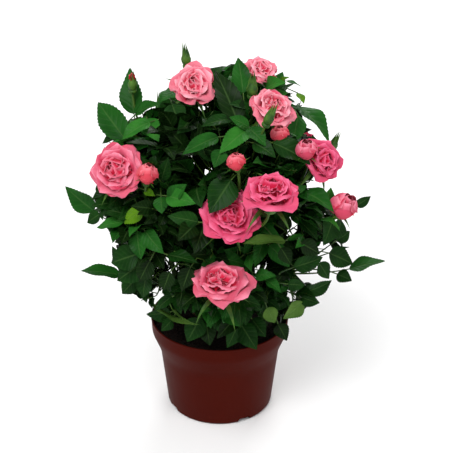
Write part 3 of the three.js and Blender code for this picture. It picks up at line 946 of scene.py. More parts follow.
# %% Fuse them with the knuckle
KNUCKLE_SIDES, KNUCKLE_RINGS = 32, 16
KNUCKLE_NECK = STUMP_HEAD * 0.75
KNUCKLE_SUNK = 1 * MM
VOXEL = 0.75 * MM
SETTLING = 4

deselect_all()
bpy.ops.mesh.primitive_uv_sphere_add(
    segments=KNUCKLE_SIDES, ring_count=KNUCKLE_RINGS, radius=STUMP_HEAD, location=head_centre
)
knuckle = bpy.context.object
bpy.ops.mesh.primitive_cone_add(
    vertices=KNUCKLE_SIDES,
    radius1=STUMP_FOOT,
    radius2=KNUCKLE_NECK,
    depth=STUMP_HEAD_HEIGHT,
    location=(0, 0, SOIL_LEVEL + STUMP_HEAD_HEIGHT / 2 - KNUCKLE_SUNK),
)
flare = bpy.context.object
deselect_all()
for thing in [*wood, knuckle, flare]:
    thing.select_set(True)
bpy.context.view_layer.objects.active = wood[0]
bpy.ops.object.convert(target="MESH")
bpy.context.view_layer.objects.active = knuckle
bpy.ops.object.join()
bark = knuckle
bark.name = "canes_bark"
finish_place(bark)
bark.data.remesh_voxel_size = VOXEL
bpy.ops.object.voxel_remesh()
smooth = bark.modifiers.new("settle", "SMOOTH")
smooth.iterations = SETTLING
bpy.ops.object.modifier_apply(modifier=smooth.name)
lump(bark, "bark_knots", size=5 * MM, strength=0.8 * MM)
lump(bark, "bark_grain", size=1.2 * MM, strength=0.35 * MM)
bpy.ops.object.shade_smooth()
print("bark faces:", len(bark.data.polygons))

# %% [markdown]
# Young rose wood is green and turns brown from the foot up, with grey streaks of cork. The height
# above the pot, roughened by noise, decides between green and brown, so that no line shows.

# %% Finish the bark
BARK_GREEN = srgb(46, 70, 24)
BARK_BROWN = srgb(56, 40, 26)
BARK_GREY = srgb(98, 90, 64)
BROWN_UP_TO, GREEN_FROM = 0.11, 0.17


def paint_bark(flow):
    place = object_place(flow)
    streaks = place.noise(260, 5, 0.7)
    height = place.part("Z") + place.noise(40, 3) * 0.05
    ground = height.spread(BROWN_UP_TO, GREEN_FROM).blend(BARK_BROWN, BARK_GREEN)
    return {
        "Base Color": streaks.spread(0.58, 0.7, 0, 0.5).blend(ground, BARK_GREY),
        "Roughness": streaks * 0.3 + 0.45,
        "Normal": streaks.bump(0.0004, 0.8),
        "Specular IOR Level": 0.25,
    }


hand_over(bark, material("green_bark", paint_bark), "canes", ["stump", *CANE_NODES])

# %% [markdown]
# ## Leaflets
#
# A rose leaf has three or five leaflets on one stalk: a longer one at the end and opposite pairs
# below it. Each leaflet is a pointed oval, folded a little along its midrib, its tip hanging. Flat
# cards with a see-through picture would be lighter, but they look like paper from the side, and a
# mesh in its own outline needs no picture. Four models of a few dozen faces, from nearly flat to
# strongly drooped, keep the crown from looking stamped. The leaves that stand out in the photograph
# have two finer models, with the toothed edge of a rose leaf.

# %% The outline of a leaflet
LEAF_RATIO = 0.28
OVAL_FOOT, OVAL_TIP = 0.62, 1.18


def oval(t):
    """The half width of a leaflet at a share of its length: round below, drawn out above."""
    shape = lambda t: t**OVAL_FOOT * (1 - t) ** OVAL_TIP
    return LEAF_RATIO * shape(t) / shape(OVAL_FOOT / (OVAL_FOOT + OVAL_TIP))


print("half widths of a leaflet:", [round(oval(eighth / 8), 2) for eighth in range(9)])

# %% Model the leaflets
LEAF_COLUMNS, LEAF_ROWS = 4, 8
SHOWN_COLUMNS, SHOWN_ROWS = 6, 26
TOOTH = 0.075
TOOTH_FORWARD = 4
ROLL_AT_FOOT, ROLL_GAIN = 0.4, 1.2


def model_leaflet(fold, droop, wave, columns=LEAF_COLUMNS, rows=LEAF_ROWS, tooth=0):
    """A leaflet folded by fold, its tip rolled down by droop degrees, its edge waved.

    tooth draws every second point of the edge out and forward, as the teeth of a rose leaf.
    """
    is_tooth = lambda t: round(t * rows) % 2 == 0 and 0 < t < 1
    width = lambda t: oval(t) * (1 + (tooth if is_tooth(t) else 0))
    lift = lambda x, t: (fold * abs(x) + wave * abs(x) * math.sin(9 * t + 2 * x)) * oval(t)
    draw = lambda x, t: tooth * TOOTH_FORWARD / rows * abs(x) ** 6 if is_tooth(t) else 0
    roll = [-droop / rows * (ROLL_AT_FOOT + ROLL_GAIN * row / rows) for row in range(rows)]
    return square_up(model_sheet(columns, rows, width, lift, roll, draw), columns, rows)


leaflet_models = [
    model_leaflet(fold=0.22, droop=14, wave=0.10),
    model_leaflet(fold=0.34, droop=34, wave=0.16),
    model_leaflet(fold=0.16, droop=62, wave=0.20),
    model_leaflet(fold=0.55, droop=24, wave=0.08),
]
shown_models = {
    "flat": model_leaflet(0.2, 16, 0.12, SHOWN_COLUMNS, SHOWN_ROWS, TOOTH),
    "arched": model_leaflet(0.3, 34, 0.14, SHOWN_COLUMNS, SHOWN_ROWS, TOOTH),
}
faces = [len(model.counts) for model in (leaflet_models[0], shown_models["flat"])]
print("faces of a leaflet:", faces[0], "and of one that stands out:", faces[1])

# %% [markdown]
# A rose leaf is a dark glossy green with paler veins, and young ones are yellower. A material for
# each leaflet would be thousands, so there is one for each of six greens, dealt out by spray. Four
# of them, shade, deep, mid and bright, are one leaf green from dark to light, and they paint light
# and shade: the darker greens are painted shade for leaves inside the crown, and the lighter ones
# are painted light for leaves towards its top and outside. The veins, the gloss and the tone are
# patterns on the leaflet's own UV map. The map is cut in four by four tiles, and each leaflet takes
# one, so that a broad noise on the map gives neighbouring leaflets their own tone while the veins
# repeat in every tile.

# %% Finish the leaves
TILES = 4
TILE_MARGIN = 0.02
# Each green as a lighter and a darker tone. shade, deep, mid and bright are painted shade and light, from
# darkest to lightest, and young is the yellower green of new leaves
LEAF_TINTS = {
    "shade": (srgb(18, 42, 10), srgb(8, 24, 5)),
    "deep": (srgb(22, 60, 15), srgb(12, 40, 10)),
    "mid": (srgb(32, 88, 26), srgb(18, 62, 16)),
    "bright": (srgb(48, 114, 36), srgb(28, 86, 24)),
    "young": (srgb(82, 124, 16), srgb(54, 98, 10)),
    "faded": (srgb(84, 116, 48), srgb(58, 90, 34)),
}
VEIN_PALE = srgb(96, 132, 70)
VEINS = 7
VEIN_SLANT, VEIN_BOW = 2.4, 0.8


def leaf_paint(tint):
    lit, shaded = LEAF_TINTS[tint]

    def paint(flow):
        place = flow.node("ShaderNodeUVMap", {"uv_map": UV_NAME})
        cell = place.vector("SCALE", {"Scale": TILES}).vector("FRACTION", {})
        off_rib = (cell.part("X") - 0.5).math("ABSOLUTE") * 2
        rib = off_rib.spread(0.02, 0.1, 1, 0)
        slant = (cell.part("Y") * VEINS - off_rib * VEIN_SLANT + off_rib * off_rib * VEIN_BOW).math("FRACT")
        side = (slant - 0.5).math("ABSOLUTE") * 2
        veins = (side.spread(0.8, 1.0) * 0.35).math("MAXIMUM", rib)
        tone = place.noise(5, 2).spread(0.3, 0.7)
        return {
            "Base Color": (veins * 0.2).blend(tone.blend(shaded, lit), VEIN_PALE),
            "Roughness": veins * 0.1 + tone * 0.1 + 0.34,
            "Normal": (side * side * -0.5 - rib * 0.8).bump(0.0005, 0.6),
            "Specular IOR Level": 0.06,
        }

    return material(f"leaf_{tint}", paint)


# %% Make the greens, and a piece for each
leaf_paints = {tint: leaf_paint(tint) for tint in LEAF_TINTS}
leaf_pieces = {tint: Joined(f"leaves_{tint}") for tint in LEAF_TINTS}
tile_draws = Draws(SEED + 11)


def add_leaflet(tint, model, matrix):
    """Adds a leaflet to its tint's piece, on one of the tiles of the map."""
    tile = np.array([int(tile_draws.next() * TILES), int(tile_draws.next() * TILES)])
    leaf_pieces[tint].add(model, matrix, (model.uvs * (1 - 2 * TILE_MARGIN) + TILE_MARGIN + tile) / TILES)


print("leaf tints:", list(leaf_paints))

# %% [markdown]
# ## Leaves that the photograph shows
#
# Some leaves stand out in the photograph: the tall one on the left shoulder, the ones that reach
# beyond the outline, the lit ones in the middle. Moving copies by hand in a viewport would do, but
# here the columns and rows where a leaf's foot and tip show are led along the camera's sight onto
# the crown's egg, so that a leaf is one line. Each then gets a stalk from the nearest stem, so it is
# carried like any other.

# %% From the photograph onto the crown
CROWN_SHOWN = {"foot": 0.96, "tip": 1.03}
END_ON_SHARE = 0.5


def on_crown(column, row, share):
    """Where the sight through a pixel meets the crown's egg, or passes it nearest."""
    across = (column - AXIS_COLUMN) / FOCAL_PIXELS
    sight = (LOOK + Vector((across, 0, 0)) + LOOK_UP * (MIDDLE - row) / FOCAL_PIXELS).normalized()
    start, run = by_radii(CAMERA_PLACE - CROWN_CENTRE) / share, by_radii(sight) / share
    a, b, c = run.dot(run), start.dot(run), start.dot(start) - 1
    inside = max(0, b * b - a * c)
    return CAMERA_PLACE + sight * (-b - math.sqrt(inside)) / a


def shown_place(foot_pixel, tip_pixel):
    """A leaf's foot on the crown, and its tip, led so that it isn't seen more end-on than half."""
    foot = on_crown(*foot_pixel, CROWN_SHOWN["foot"])
    tip = on_crown(*tip_pixel, CROWN_SHOWN["tip"])
    depth, tip_depth = (foot - CAMERA_PLACE).dot(LOOK), (tip - CAMERA_PLACE).dot(LOOK)
    level = CAMERA_PLACE + (tip - CAMERA_PLACE) * depth / tip_depth
    give = (level - foot).length * END_ON_SHARE
    kept = min(max(tip_depth, depth - give), depth + give)
    return foot, CAMERA_PLACE + (tip - CAMERA_PLACE) * kept / tip_depth


front = on_crown(AXIS_COLUMN, MIDDLE, CROWN_SHOWN["tip"])
print("the middle of the picture meets the crown at", [round(c / MM) for c in front], "mm")

# %% The leaves that stand out on the left
# Foot and tip (column, row), half width as a share of the length, the side that the leaf turns
# to, and its tint, a green that mostly paints how lit or shaded the leaf is
LEFT_SIDE = {
    "upright_left": ((134, 114), (130, 67), 0.24, "out", "mid"),
    "left_shoulder": ((125, 139), (98, 102), 0.24, "out", "mid"),
    "left_shoulder_low": ((119, 136), (102, 144), 0.3, "out", "deep"),
    "left_lit": ((150, 122), (122, 140), 0.28, "out", "bright"),
    "left_lit_low": ((147, 119), (159, 142), 0.3, "out", "bright"),
    "left_lit_high": ((136, 114), (162, 104), 0.26, "out", "mid"),
    "under_top_bloom": ((176, 92), (158, 103), 0.34, "out", "mid"),
    "under_top_bloom_low": ((172, 104), (181, 130), 0.34, "out", "deep"),
    "far_left": ((94, 211), (65, 186), 0.29, "out", "mid"),
    "far_left_round": ((100, 214), (87, 223), 0.42, "out", "deep"),
    "left_bright_low": ((124, 222), (96, 228), 0.32, "up", "bright"),
    "left_young": ((142, 210), (124, 224), 0.34, "out", "young"),
    "left_young_small": ((145, 190), (155, 196), 0.3, "out", "young"),
    "left_inner": ((161, 197), (162, 214), 0.42, "out", "mid"),
    "left_inner_long": ((167, 196), (196, 204), 0.27, "out", "bright"),
    "left_inner_high": ((168, 200), (187, 184), 0.3, "out", "mid"),
    "left_hanging": ((137, 231), (141, 260), 0.33, "out", "mid"),
    "left_hanging_next": ((145, 231), (164, 254), 0.27, "out", "mid"),
    "left_long_dark": ((198, 222), (167, 216), 0.26, "out", "deep"),
    "left_olive": ((168, 255), (198, 263), 0.24, "up", "deep"),
    "left_pointed": ((120, 275), (80, 271), 0.3, "up", "mid"),
    "left_low_round": ((135, 280), (122, 294), 0.4, "out", "deep"),
    "left_low_upper": ((138, 254), (111, 263), 0.38, "out", "deep"),
    "left_low_mid": ((141, 264), (117, 281), 0.36, "out", "deep"),
    "left_low_inner": ((150, 261), (139, 282), 0.36, "out", "shade"),
    "left_low_edge": ((146, 276), (143, 298), 0.34, "out", "deep"),
    "left_low_between": ((170, 272), (163, 291), 0.36, "out", "shade"),
    "left_low_beside": ((190, 268), (182, 290), 0.36, "out", "shade"),
    "left_mound": ((124, 262), (112, 246), 0.3, "out", "deep"),
    "foot_round": ((170, 312), (146, 314), 0.34, "out", "deep"),
    "foot_small": ((172, 320), (161, 331), 0.38, "out", "deep"),
}
print("on the left:", len(LEFT_SIDE))

# %% The leaves that stand out on the right
RIGHT_SIDE = {
    "right_pointed": ((349, 269), (386, 261), 0.3, "up", "mid"),
    "right_oval": ((329, 253), (353, 264), 0.34, "out", "deep"),
    "right_oval_low": ((337, 274), (352, 281), 0.42, "out", "deep"),
    "right_low": ((301, 297), (320, 303), 0.36, "out", "deep"),
    "right_low_long": ((305, 292), (332, 280), 0.3, "out", "deep"),
    "right_low_inner": ((288, 284), (305, 285), 0.36, "out", "deep"),
    "right_between": ((319, 263), (329, 279), 0.36, "out", "deep"),
    "right_mid_long": ((294, 267), (323, 257), 0.26, "out", "deep"),
    "right_mid_high": ((301, 243), (320, 254), 0.34, "out", "shade"),
    "right_hanging_low": ((333, 219), (323, 246), 0.32, "out", "deep"),
    "right_hanging_edge": ((341, 220), (336, 241), 0.3, "out", "deep"),
    "right_mid_inner": ((281, 248), (291, 265), 0.36, "out", "shade"),
    "right_low_pale": ((303, 302), (283, 319), 0.38, "out", "faded"),
    "right_low_pale_small": ((267, 308), (275, 323), 0.38, "out", "faded"),
    "right_edge": ((337, 240), (350, 231), 0.4, "out", "deep"),
    "right_edge_low": ((336, 251), (350, 247), 0.2, "up", "deep"),
    "beside_side_bloom": ((325, 206), (331, 187), 0.34, "out", "bright"),
    "behind_side_bloom": ((356, 206), (371, 196), 0.3, "out", "deep"),
    "pale_edge": ((285, 241), (242, 244), 0.17, "up", "faded"),
    "pale_edge_end": ((288, 240), (305, 235), 0.2, "up", "bright"),
}
print("on the right:", len(RIGHT_SIDE))

# %% The leaves that stand out in the middle and at the top
MIDDLE_AND_TOP = {
    "middle_long": ((218, 137), (182, 155), 0.2, "out", "mid"),
    "middle_top": ((231, 119), (201, 127), 0.2, "out", "deep"),
    "middle_lit": ((247, 130), (219, 154), 0.24, "out", "bright"),
    "middle_lit_high": ((249, 127), (229, 117), 0.32, "out", "mid"),
    "middle_lit_right": ((249, 128), (266, 147), 0.3, "out", "mid"),
    "middle_right": ((254, 143), (276, 158), 0.3, "out", "deep"),
    "right_long": ((273, 143), (311, 165), 0.25, "out", "deep"),
    "right_hanging": ((298, 115), (292, 146), 0.26, "out", "mid"),
    "right_arch": ((299, 107), (329, 143), 0.22, "out", "mid"),
    "over_centre_bloom": ((231, 180), (209, 214), 0.36, "out", "deep"),
    "beside_centre_half": ((222, 150), (214, 168), 0.36, "out", "mid"),
    "beside_centre_right": ((262, 175), (273, 182), 0.18, "up", "mid"),
    "beside_top_bloom": ((238, 123), (215, 70), 0.19, "out", "shade"),
    "top_upright": ((243, 93), (238, 57), 0.22, "out", "mid"),
    "top_teal": ((252, 110), (228, 104), 0.22, "out", "deep"),
    "top_small": ((285, 81), (302, 87), 0.24, "up", "mid"),
    "top_young": ((279, 83), (290, 77), 0.3, "out", "young"),
    "upper_right_young": ((298, 93), (304, 104), 0.34, "out", "young"),
}
print("in the middle and at the top:", len(MIDDLE_AND_TOP))

# %% The leaves that hang over the pot's rim
OVER_THE_RIM = {
    "rim_middle": ((241, 324), (257, 350), 0.36, "out", "deep"),
    "rim_left": ((238, 324), (227, 348), 0.36, "out", "deep"),
    "rim_right": ((252, 319), (266, 337), 0.4, "out", "deep"),
    "rim_far_right": ((278, 324), (287, 341), 0.4, "out", "shade"),
    "foot_dark": ((200, 318), (187, 342), 0.38, "out", "deep"),
    "foot_dark_next": ((206, 320), (210, 346), 0.38, "out", "shade"),
    "grassy": ((153, 303), (201, 325), 0.05, "out", "faded"),
    "grassy_next": ((172, 309), (196, 326), 0.06, "out", "faded"),
}
SHOWN_LEAVES = {**LEFT_SIDE, **RIGHT_SIDE, **MIDDLE_AND_TOP, **OVER_THE_RIM}
print("leaves that stand out:", len(SHOWN_LEAVES))

# %% Give every flower its station on a stem
order = {name: 1 for name in MASSES}
stations = {}
for flower, (middle, *_) in {**BLOOMS, **BUDS}.items():
    name = mass_at(middle)
    stations[flower] = (name, station_of(order[name]))
    order[name] += 1
print("flowers on each mass:", {name: count - 1 for name, count in order.items()})

# %% Lay the leaves that stand out
LEVEL_ENOUGH = 0.5
SHOWN_STATIONS = 0.3, 0.98
STALK_BEND = 0.4
MARK_SIZE = 0.36

stalks = []
shown_marks = []
shown_draws = Draws(SEED + 13)


def shown_face(turned_to, out):
    """The way a leaf's upper side turns: up to the light, or out of the crown and to the viewer."""
    if turned_to == "up":
        return UP * 1.2 + out * 0.3
    return out * 0.8 + UP * 0.35 - LOOK * 0.5


for foot_pixel, tip_pixel, ratio, turned_to, tint in SHOWN_LEAVES.values():
    foot, tip = shown_place(foot_pixel, tip_pixel)
    heading = (tip - foot).normalized()
    length = (tip - foot).length
    out = outward(foot.lerp(tip, 0.5))
    face = shown_face(turned_to, out)
    model = shown_models["arched" if abs(heading.z) < LEVEL_ENOUGH and turned_to == "out" else "flat"]
    add_leaflet(tint, model, frame_matrix(foot, heading, face, length, length * ratio / LEAF_RATIO))
    name = mass_at(foot)
    station = shown_draws.between(*SHOWN_STATIONS)
    stalks.append((stalk_curve(name, station, foot, heading, STALK_BEND), 1))
    shown_marks.append((foot.lerp(tip, 0.5), (out * 0.5 - LOOK * 0.5).normalized(), length * MARK_SIZE))
print("their lengths:", sorted({round(radius / MARK_SIZE / MM) for _, _, radius in shown_marks}), "mm")

# %% [markdown]
# ## The rest of the crown
#
# The solids carry a few hundred large leaves. Here each of them is a twig: one compound leaf at its
# end and smaller ones along it, at the fineness of the real plant. Strewing leaves evenly over the
# masses would be simpler, but the crown would look clipped. Leaflets that would hide a bloom, leave
# the outline, or close the gaps where the photograph shows the sky are left out.

# %% Gaps through which the sky shows
# Column, row and radius
GAP_MARGIN = 3.2
SKY_GAPS = {
    "right_low": (300, 276, 5.5),
    "right_mid": (328, 263, 5.5),
    "right_high": (322, 250, 3.5),
    "right_edge": (316, 273, 3),
    "right_far": (332, 276, 3),
    "right_foot": (291, 294, 4),
    "centre_right": (263, 268, 4),
    "centre_low": (258, 283, 3),
    "pale_middle": (292, 231, 4),
    "left_high": (171, 262, 3.5),
    "left_mid": (154, 272, 4),
    "left_tall": (177, 272, 4),
    "left_low": (159, 293, 5),
    "middle": (194, 162, 5.5),
    "middle_low": (210, 175, 4.5),
    "top": (263, 128, 6),
    "top_left": (203, 107, 8),
    "top_right": (240, 113, 5),
    "right_shoulder": (310, 186, 4.5),
}
print("gaps:", len(SKY_GAPS))

# %% How far leaves reach
# The first and the last column, by the row of the picture
OUTLINE = {
    60: (240, 250),
    75: (172, 296),
    95: (172, 302),
    105: (158, 302),
    115: (132, 306),
    125: (120, 312),
    140: (112, 322),
    150: (102, 326),
    165: (100, 322),
    180: (96, 309),
    192: (92, 310),
    202: (88, 332),
    215: (90, 345),
    235: (106, 344),
    250: (117, 348),
    270: (119, 350),
    285: (122, 344),
    297: (138, 322),
    308: (150, 308),
    320: (153, 294),
    335: (158, 284),
    350: (172, 266),
}
OUTLINE_ROWS = list(OUTLINE)
FIRST_COLUMNS, LAST_COLUMNS = zip(*OUTLINE.values())
print("the crown is widest, in pixels:", max(last - first for first, last in OUTLINE.values()))

# %% What a leaflet must stay clear of
BLOOM_SIGHT = 45 * MM
BLOOM_BACK = 0.5
BLOOM_CLEARANCE = 0.85
SHOWN_SIGHT = 40 * MM
SHOWN_BACK = 2 * MM
WALL_MARGIN = 1.5 * MM
WALL_DEPTH = 5 * MM
RIM_MARGIN = 1 * MM
PEAT_MARGIN = 2 * MM


def hides_bloom(point):
    """Whether a point lies in the short columns through which a bloom is seen."""
    for middle, way, radius, _, _ in BLOOMS.values():
        for axis in (facing(way), (middle - CROWN_CENTRE).normalized(), (facing(way) - LOOK).normalized()):
            along = min(max((point - middle).dot(axis), -radius * BLOOM_BACK), BLOOM_SIGHT)
            if (point - middle - axis * along).length < radius * BLOOM_CLEARANCE:
                return True
    return False


def hides_shown_leaf(point):
    """Whether a point lies in front of a leaf that stands out."""
    for middle, axis, radius in shown_marks:
        along = min(max((point - middle).dot(axis), -SHOWN_BACK), SHOWN_SIGHT)
        if (point - middle - axis * along).length < radius:
            return True
    return False


def meets_pot(point):
    """Whether a point lies in the pot's wall or in the peat."""
    spread = math.hypot(point.x, point.y)
    if point.z > POT_HEIGHT + RIM_MARGIN or spread > RIM_RADIUS + WALL_MARGIN:
        return False
    return spread > RIM_RADIUS - WALL_DEPTH or point.z < SOIL_LEVEL + PEAT_MARGIN


def leaves_outline(point):
    """Whether a point would show beyond the outline of the crown."""
    column, row = pixel_of(point)
    first = np.interp(row, OUTLINE_ROWS, FIRST_COLUMNS)
    last = np.interp(row, OUTLINE_ROWS, LAST_COLUMNS)
    return not first < column < last


def closes_gap(point):
    """Whether a point would show in one of the gaps, or close to it."""
    column, row = pixel_of(point)
    return any(math.hypot(column - c, row - r) < radius + GAP_MARGIN for c, r, radius in SKY_GAPS.values())


def is_clear(point):
    """Whether a leaflet may lie at a point."""
    tests = (meets_pot, closes_gap, leaves_outline, hides_bloom, hides_shown_leaf)
    return not any(test(point) for test in tests)


# %% [markdown]
# A twig starts on a stem and ends in a spot of the rule, and each spot is drawn as it was for the
# solids. A golden angle from spot to spot spreads them evenly over the egg with no rows, as buds
# stand round a stem.

# %% Spots for twigs, by the solids' rule
# Low leaves hang over the rim at the sides and the back, where no leaf is placed by the photograph
LOW_LEAVES = 54
LOW_FRONT = -0.3
# Their distance from the axis and their height, in millimetres
LOW_SPREAD = 48, 60
LOW_HEIGHT = 94, 104


def leaf_spots():
    """The reaching tips, the lattice over the crown and further in, and the low leaves."""
    draws = Draws(SEED)
    spots = [(tip, True) for tip in REACHING_TIPS]
    for count, reach, skew in ((OUTER_LEAVES, OUTER_REACH, 0), (INNER_LEAVES, INNER_REACH, 1)):
        for i in range(count):
            height = 1 - 2 * (i + 0.5) / count
            level = math.sqrt(1 - height * height)
            turn = i * GOLDEN_ANGLE + skew
            ray = Vector((math.cos(turn) * level, math.sin(turn) * level, height))
            ray = Vector((ray.x * CROWN_RADII.x, ray.y * CROWN_RADII.y, ray.z * CROWN_RADII.z))
            spots.append((ray * draws.between(*reach) + CROWN_CENTRE, False))
    for i in range(LOW_LEAVES):
        turn = i * GOLDEN_ANGLE
        spread, height = draws.between(*LOW_SPREAD) * MM, draws.between(*LOW_HEIGHT) * MM
        if math.sin(turn) > LOW_FRONT:
            spots.append((Vector((math.cos(turn) * spread, math.sin(turn) * spread, height)), False))
    return spots


spots = leaf_spots()
print("spots:", len(spots), "clear ones:", sum(is_clear(spot) for spot, _ in spots))

# %% One leaf of the rule
LEAF_SWAY = 0.6
LEAF_TILTS = 0.35, 0.85
LEAF_DROOPS = 0.5, 1.5
# By height in millimetres: leaves are smallest low in the crown
FINENESS = {100: 0.5, 150: 0.58, 210: 0.74, 260: 0.86}


def draw_leaf(spot, reaches, draws):
    """Draws how the leaf at a spot is carried and turned, in the order of the solids' rule."""
    name = mass_at(spot)
    hub_way = (MASSES[name] - CROWN_CENTRE).normalized()
    axial = CROWN_CENTRE + hub_way * (spot - CROWN_CENTRE).length
    station = station_of(order[name])
    order[name] += 1
    return SimpleNamespace(
        name=name,
        spot=spot if reaches else spot.lerp(axial, GATHER),
        station=station,
        size=draws.between(*LEAF_SIZES),
        sway=draws.between(-LEAF_SWAY, LEAF_SWAY),
        tilt=draws.between(*LEAF_TILTS),
        droop=draws.between(*LEAF_DROOPS),
    )


def fineness(height):
    """The size of a real leaf at a height, beside the solids'."""
    return float(np.interp(height / MM, list(FINENESS), list(FINENESS.values())))


print("a leaf half way up is", round(fineness(CROWN_CENTRE.z), 2), "of the solids' size")


# %% [markdown]
# The spray of a real rose never repeats, so every leaflet's angle, size, tilt and droop is drawn
# afresh. A particle system or geometry nodes could deal them out too, but plain loops let each
# leaflet be tested before it is laid, and a leaf that keeps fewer than two leaflets is dropped.

# %% A compound leaf on a twig
# Each pair of leaflets: how far below the end in leaflet lengths, its size, and its angle
PAIRS = ((0.24, 0.92, 62), (0.7, 0.78, 70))
PAIR_SWING = 10
PAIR_SIZES = 0.88, 1.08
LEAFLET_BREADTHS = 0.9, 1.15
LEAFLET_SWING, LEAFLET_TILT = 0.14, 0.35
DROOP_LUCK = 0.9
JOINT = 1.2 * MM
TESTED_SHARES = (0.15, 0.4, 0.7, 1)
FEWEST_LEAFLETS = 2
twig_draws = Draws(SEED + 17)


def add_compound(rachis, heading, face, length, droop, tint):
    """An end leaflet and opposite pairs along a stalk. Returns how many found room, if two did."""
    side = heading.cross(face)
    end = rachis.at(1)
    leaflets = [(end, heading, length)]
    for below, share, angle in PAIRS:
        if below * length + JOINT > rachis.length:
            continue
        place = rachis.at(1 - below * length / rachis.length)
        for hand in (1, -1):
            turn = math.radians(angle + twig_draws.between(-PAIR_SWING, PAIR_SWING))
            way = heading * math.cos(turn) + side * hand * math.sin(turn)
            leaflets.append((place + way * JOINT, way, length * share * twig_draws.between(*PAIR_SIZES)))
    laid = []
    for foot, way, reach in leaflets:
        way = (way + twig_draws.way() * LEAFLET_SWING).normalized()
        turned = square_to(face + twig_draws.way() * LEAFLET_TILT, way)
        tip = foot + way * reach
        bent = int(droop * 2 + twig_draws.between(-DROOP_LUCK, DROOP_LUCK))
        model = leaflet_models[min(bent, len(leaflet_models) - 1)]
        width = reach * twig_draws.between(*LEAFLET_BREADTHS)
        if all(is_clear(foot.lerp(tip, share)) for share in TESTED_SHARES):
            laid.append((model, frame_matrix(foot, way, turned, reach, width)))
    if len(laid) < FEWEST_LEAFLETS:
        return 0
    for model, matrix in laid:
        add_leaflet(tint, model, matrix)
    return len(laid)


# %% A twig's tint
# Twigs this far inside the crown mostly take the painted-shade green, and TOP_LIGHT paints more light on
# higher twigs
INSIDE = 0.8
SHADED_INSIDE = 0.75
TOP_LIGHT = 0.2
TINT_LIMITS = ((0.34, "shade"), (0.72, "deep"), (0.98, "mid"), (1.14, "bright"), (2, "young"))


def tint_of(spot, draws):
    """Darker inside as painted shade, brighter towards the top and the outside as painted light, and a few
    young ones.
    """
    off = by_radii(spot - CROWN_CENTRE)
    luck = draws.next()
    if off.length < INSIDE:
        return "shade" if luck < SHADED_INSIDE else "deep"
    light = luck + TOP_LIGHT * off.z
    return next(tint for limit, tint in TINT_LIMITS if light < limit)


# %% The side leaves of a twig
# Where each one leaves the twig, and to which hand it leans
SIDE_LEAVES = ((0.86, 1), (0.7, -1), (0.54, 1))
SIDE_REACH = 0.95
SIDE_SIZES = 0.75, 0.95
SIDE_SWAY, SIDE_SPIN = 3, 9
SIDE_LIFT = 0.3
ALONG_TWIG, OFF_TWIG, HAND_LEAN, SIDE_OUT, SIDE_UP = 0.45, 0.35, 0.4, 0.3, 0.1
SIDE_BEND = 0.5
SIDE_FACE_UP, SIDE_FACE_OUT, SIDE_FACE_LUCK = 0.8, 0.5, 0.4

petiole_bows = []


def add_side_leaf(twig, share, hand, leaf, out, length, tint):
    """A smaller compound leaf part of the way up a twig. Returns its number of leaflets."""
    place = twig.at(share)
    run = twig.way(share)
    side = Quaternion(run, leaf.sway * SIDE_SWAY + share * SIDE_SPIN) @ square_to(out + UP * SIDE_LIFT, run)
    lean = OFF_TWIG + HAND_LEAN * hand
    way = (run * ALONG_TWIG + side * lean + out * SIDE_OUT + UP * SIDE_UP).normalized()
    size = length * twig_draws.between(*SIDE_SIZES)
    end = place + (way + UP * SIDE_UP) * size * SIDE_REACH
    rachis = Bow(place, place + way * size * SIDE_BEND, end)
    turned = square_to(UP * SIDE_FACE_UP + out * SIDE_FACE_OUT + twig_draws.way() * SIDE_FACE_LUCK, way)
    laid = add_compound(rachis, way, turned, size, leaf.droop, tint)
    if laid:
        petiole_bows.append(rachis)
    return laid


# %% How the end of a twig turns
REACH_SINK = 0.18
REACH_FACE_OUT = 0.7
SLOPE_UP = 0.55
HANG, HANG_OUT, HANG_LUCK = 0.6, 0.3, 0.4
FACE_UP, FACE_OUT, FACE_LUCK = 0.8, 0.6, 0.45


def reaching_ways(leaf, foot, out):
    """Heading and face of a leaf that reaches beyond the crown, sinking a little."""
    heading = ((leaf.spot - foot).normalized() - UP * REACH_SINK).normalized()
    return heading, square_to(UP + out * REACH_FACE_OUT, heading)


def hanging_ways(leaf, out):
    """Heading and face of a leaf that lies on the crown like a tile, its tip down and out."""
    slope = (out + UP * SLOPE_UP).normalized()
    fall = Quaternion(slope, leaf.sway) @ square_to(-UP, slope)
    heading = (fall * HANG + out * (leaf.tilt + HANG_OUT) + twig_draws.way() * HANG_LUCK).normalized()
    return heading, square_to(UP * FACE_UP + out * FACE_OUT + twig_draws.way() * FACE_LUCK, heading)


# %% Grow the twigs
leaf_draws = Draws(SEED + 1)
tint_draws = Draws(SEED + 3)
leaflets_kept = 0
for spot, reaches in spots:
    leaf = draw_leaf(spot, reaches, leaf_draws)
    foot = stems[leaf.name].at(leaf.station)
    out = (leaf.spot - CROWN_CENTRE).normalized()
    tint = tint_of(leaf.spot, tint_draws)
    length = LEAFLET_LENGTH * leaf.size * (1 if reaches else fineness(leaf.spot.z))
    heading, face = reaching_ways(leaf, foot, out) if reaches else hanging_ways(leaf, out)
    tip = leaf.spot if reaches else leaf.spot + heading * length * TILE_SHARE
    twig = stalk_curve(leaf.name, leaf.station, tip - heading * length, heading, STALK_BEND)
    kept = add_compound(twig, heading, face, length, leaf.droop, tint)
    reach = 1 if kept else 0
    for share, hand in () if reaches else SIDE_LEAVES:
        laid = add_side_leaf(twig, share, hand, leaf, out, length, tint)
        if laid:
            kept += laid
            reach = max(reach, share)
    if kept:
        stalks.append((twig, reach))
        leaflets_kept += kept
print("twigs:", len(stalks), "side leaves:", len(petiole_bows), "leaflets:", leaflets_kept)

# %% Join the leaves, each green apart
for tint, piece in leaf_pieces.items():
    piece.finish(leaf_paints[tint], "foliage", FOLIAGE_NODES)

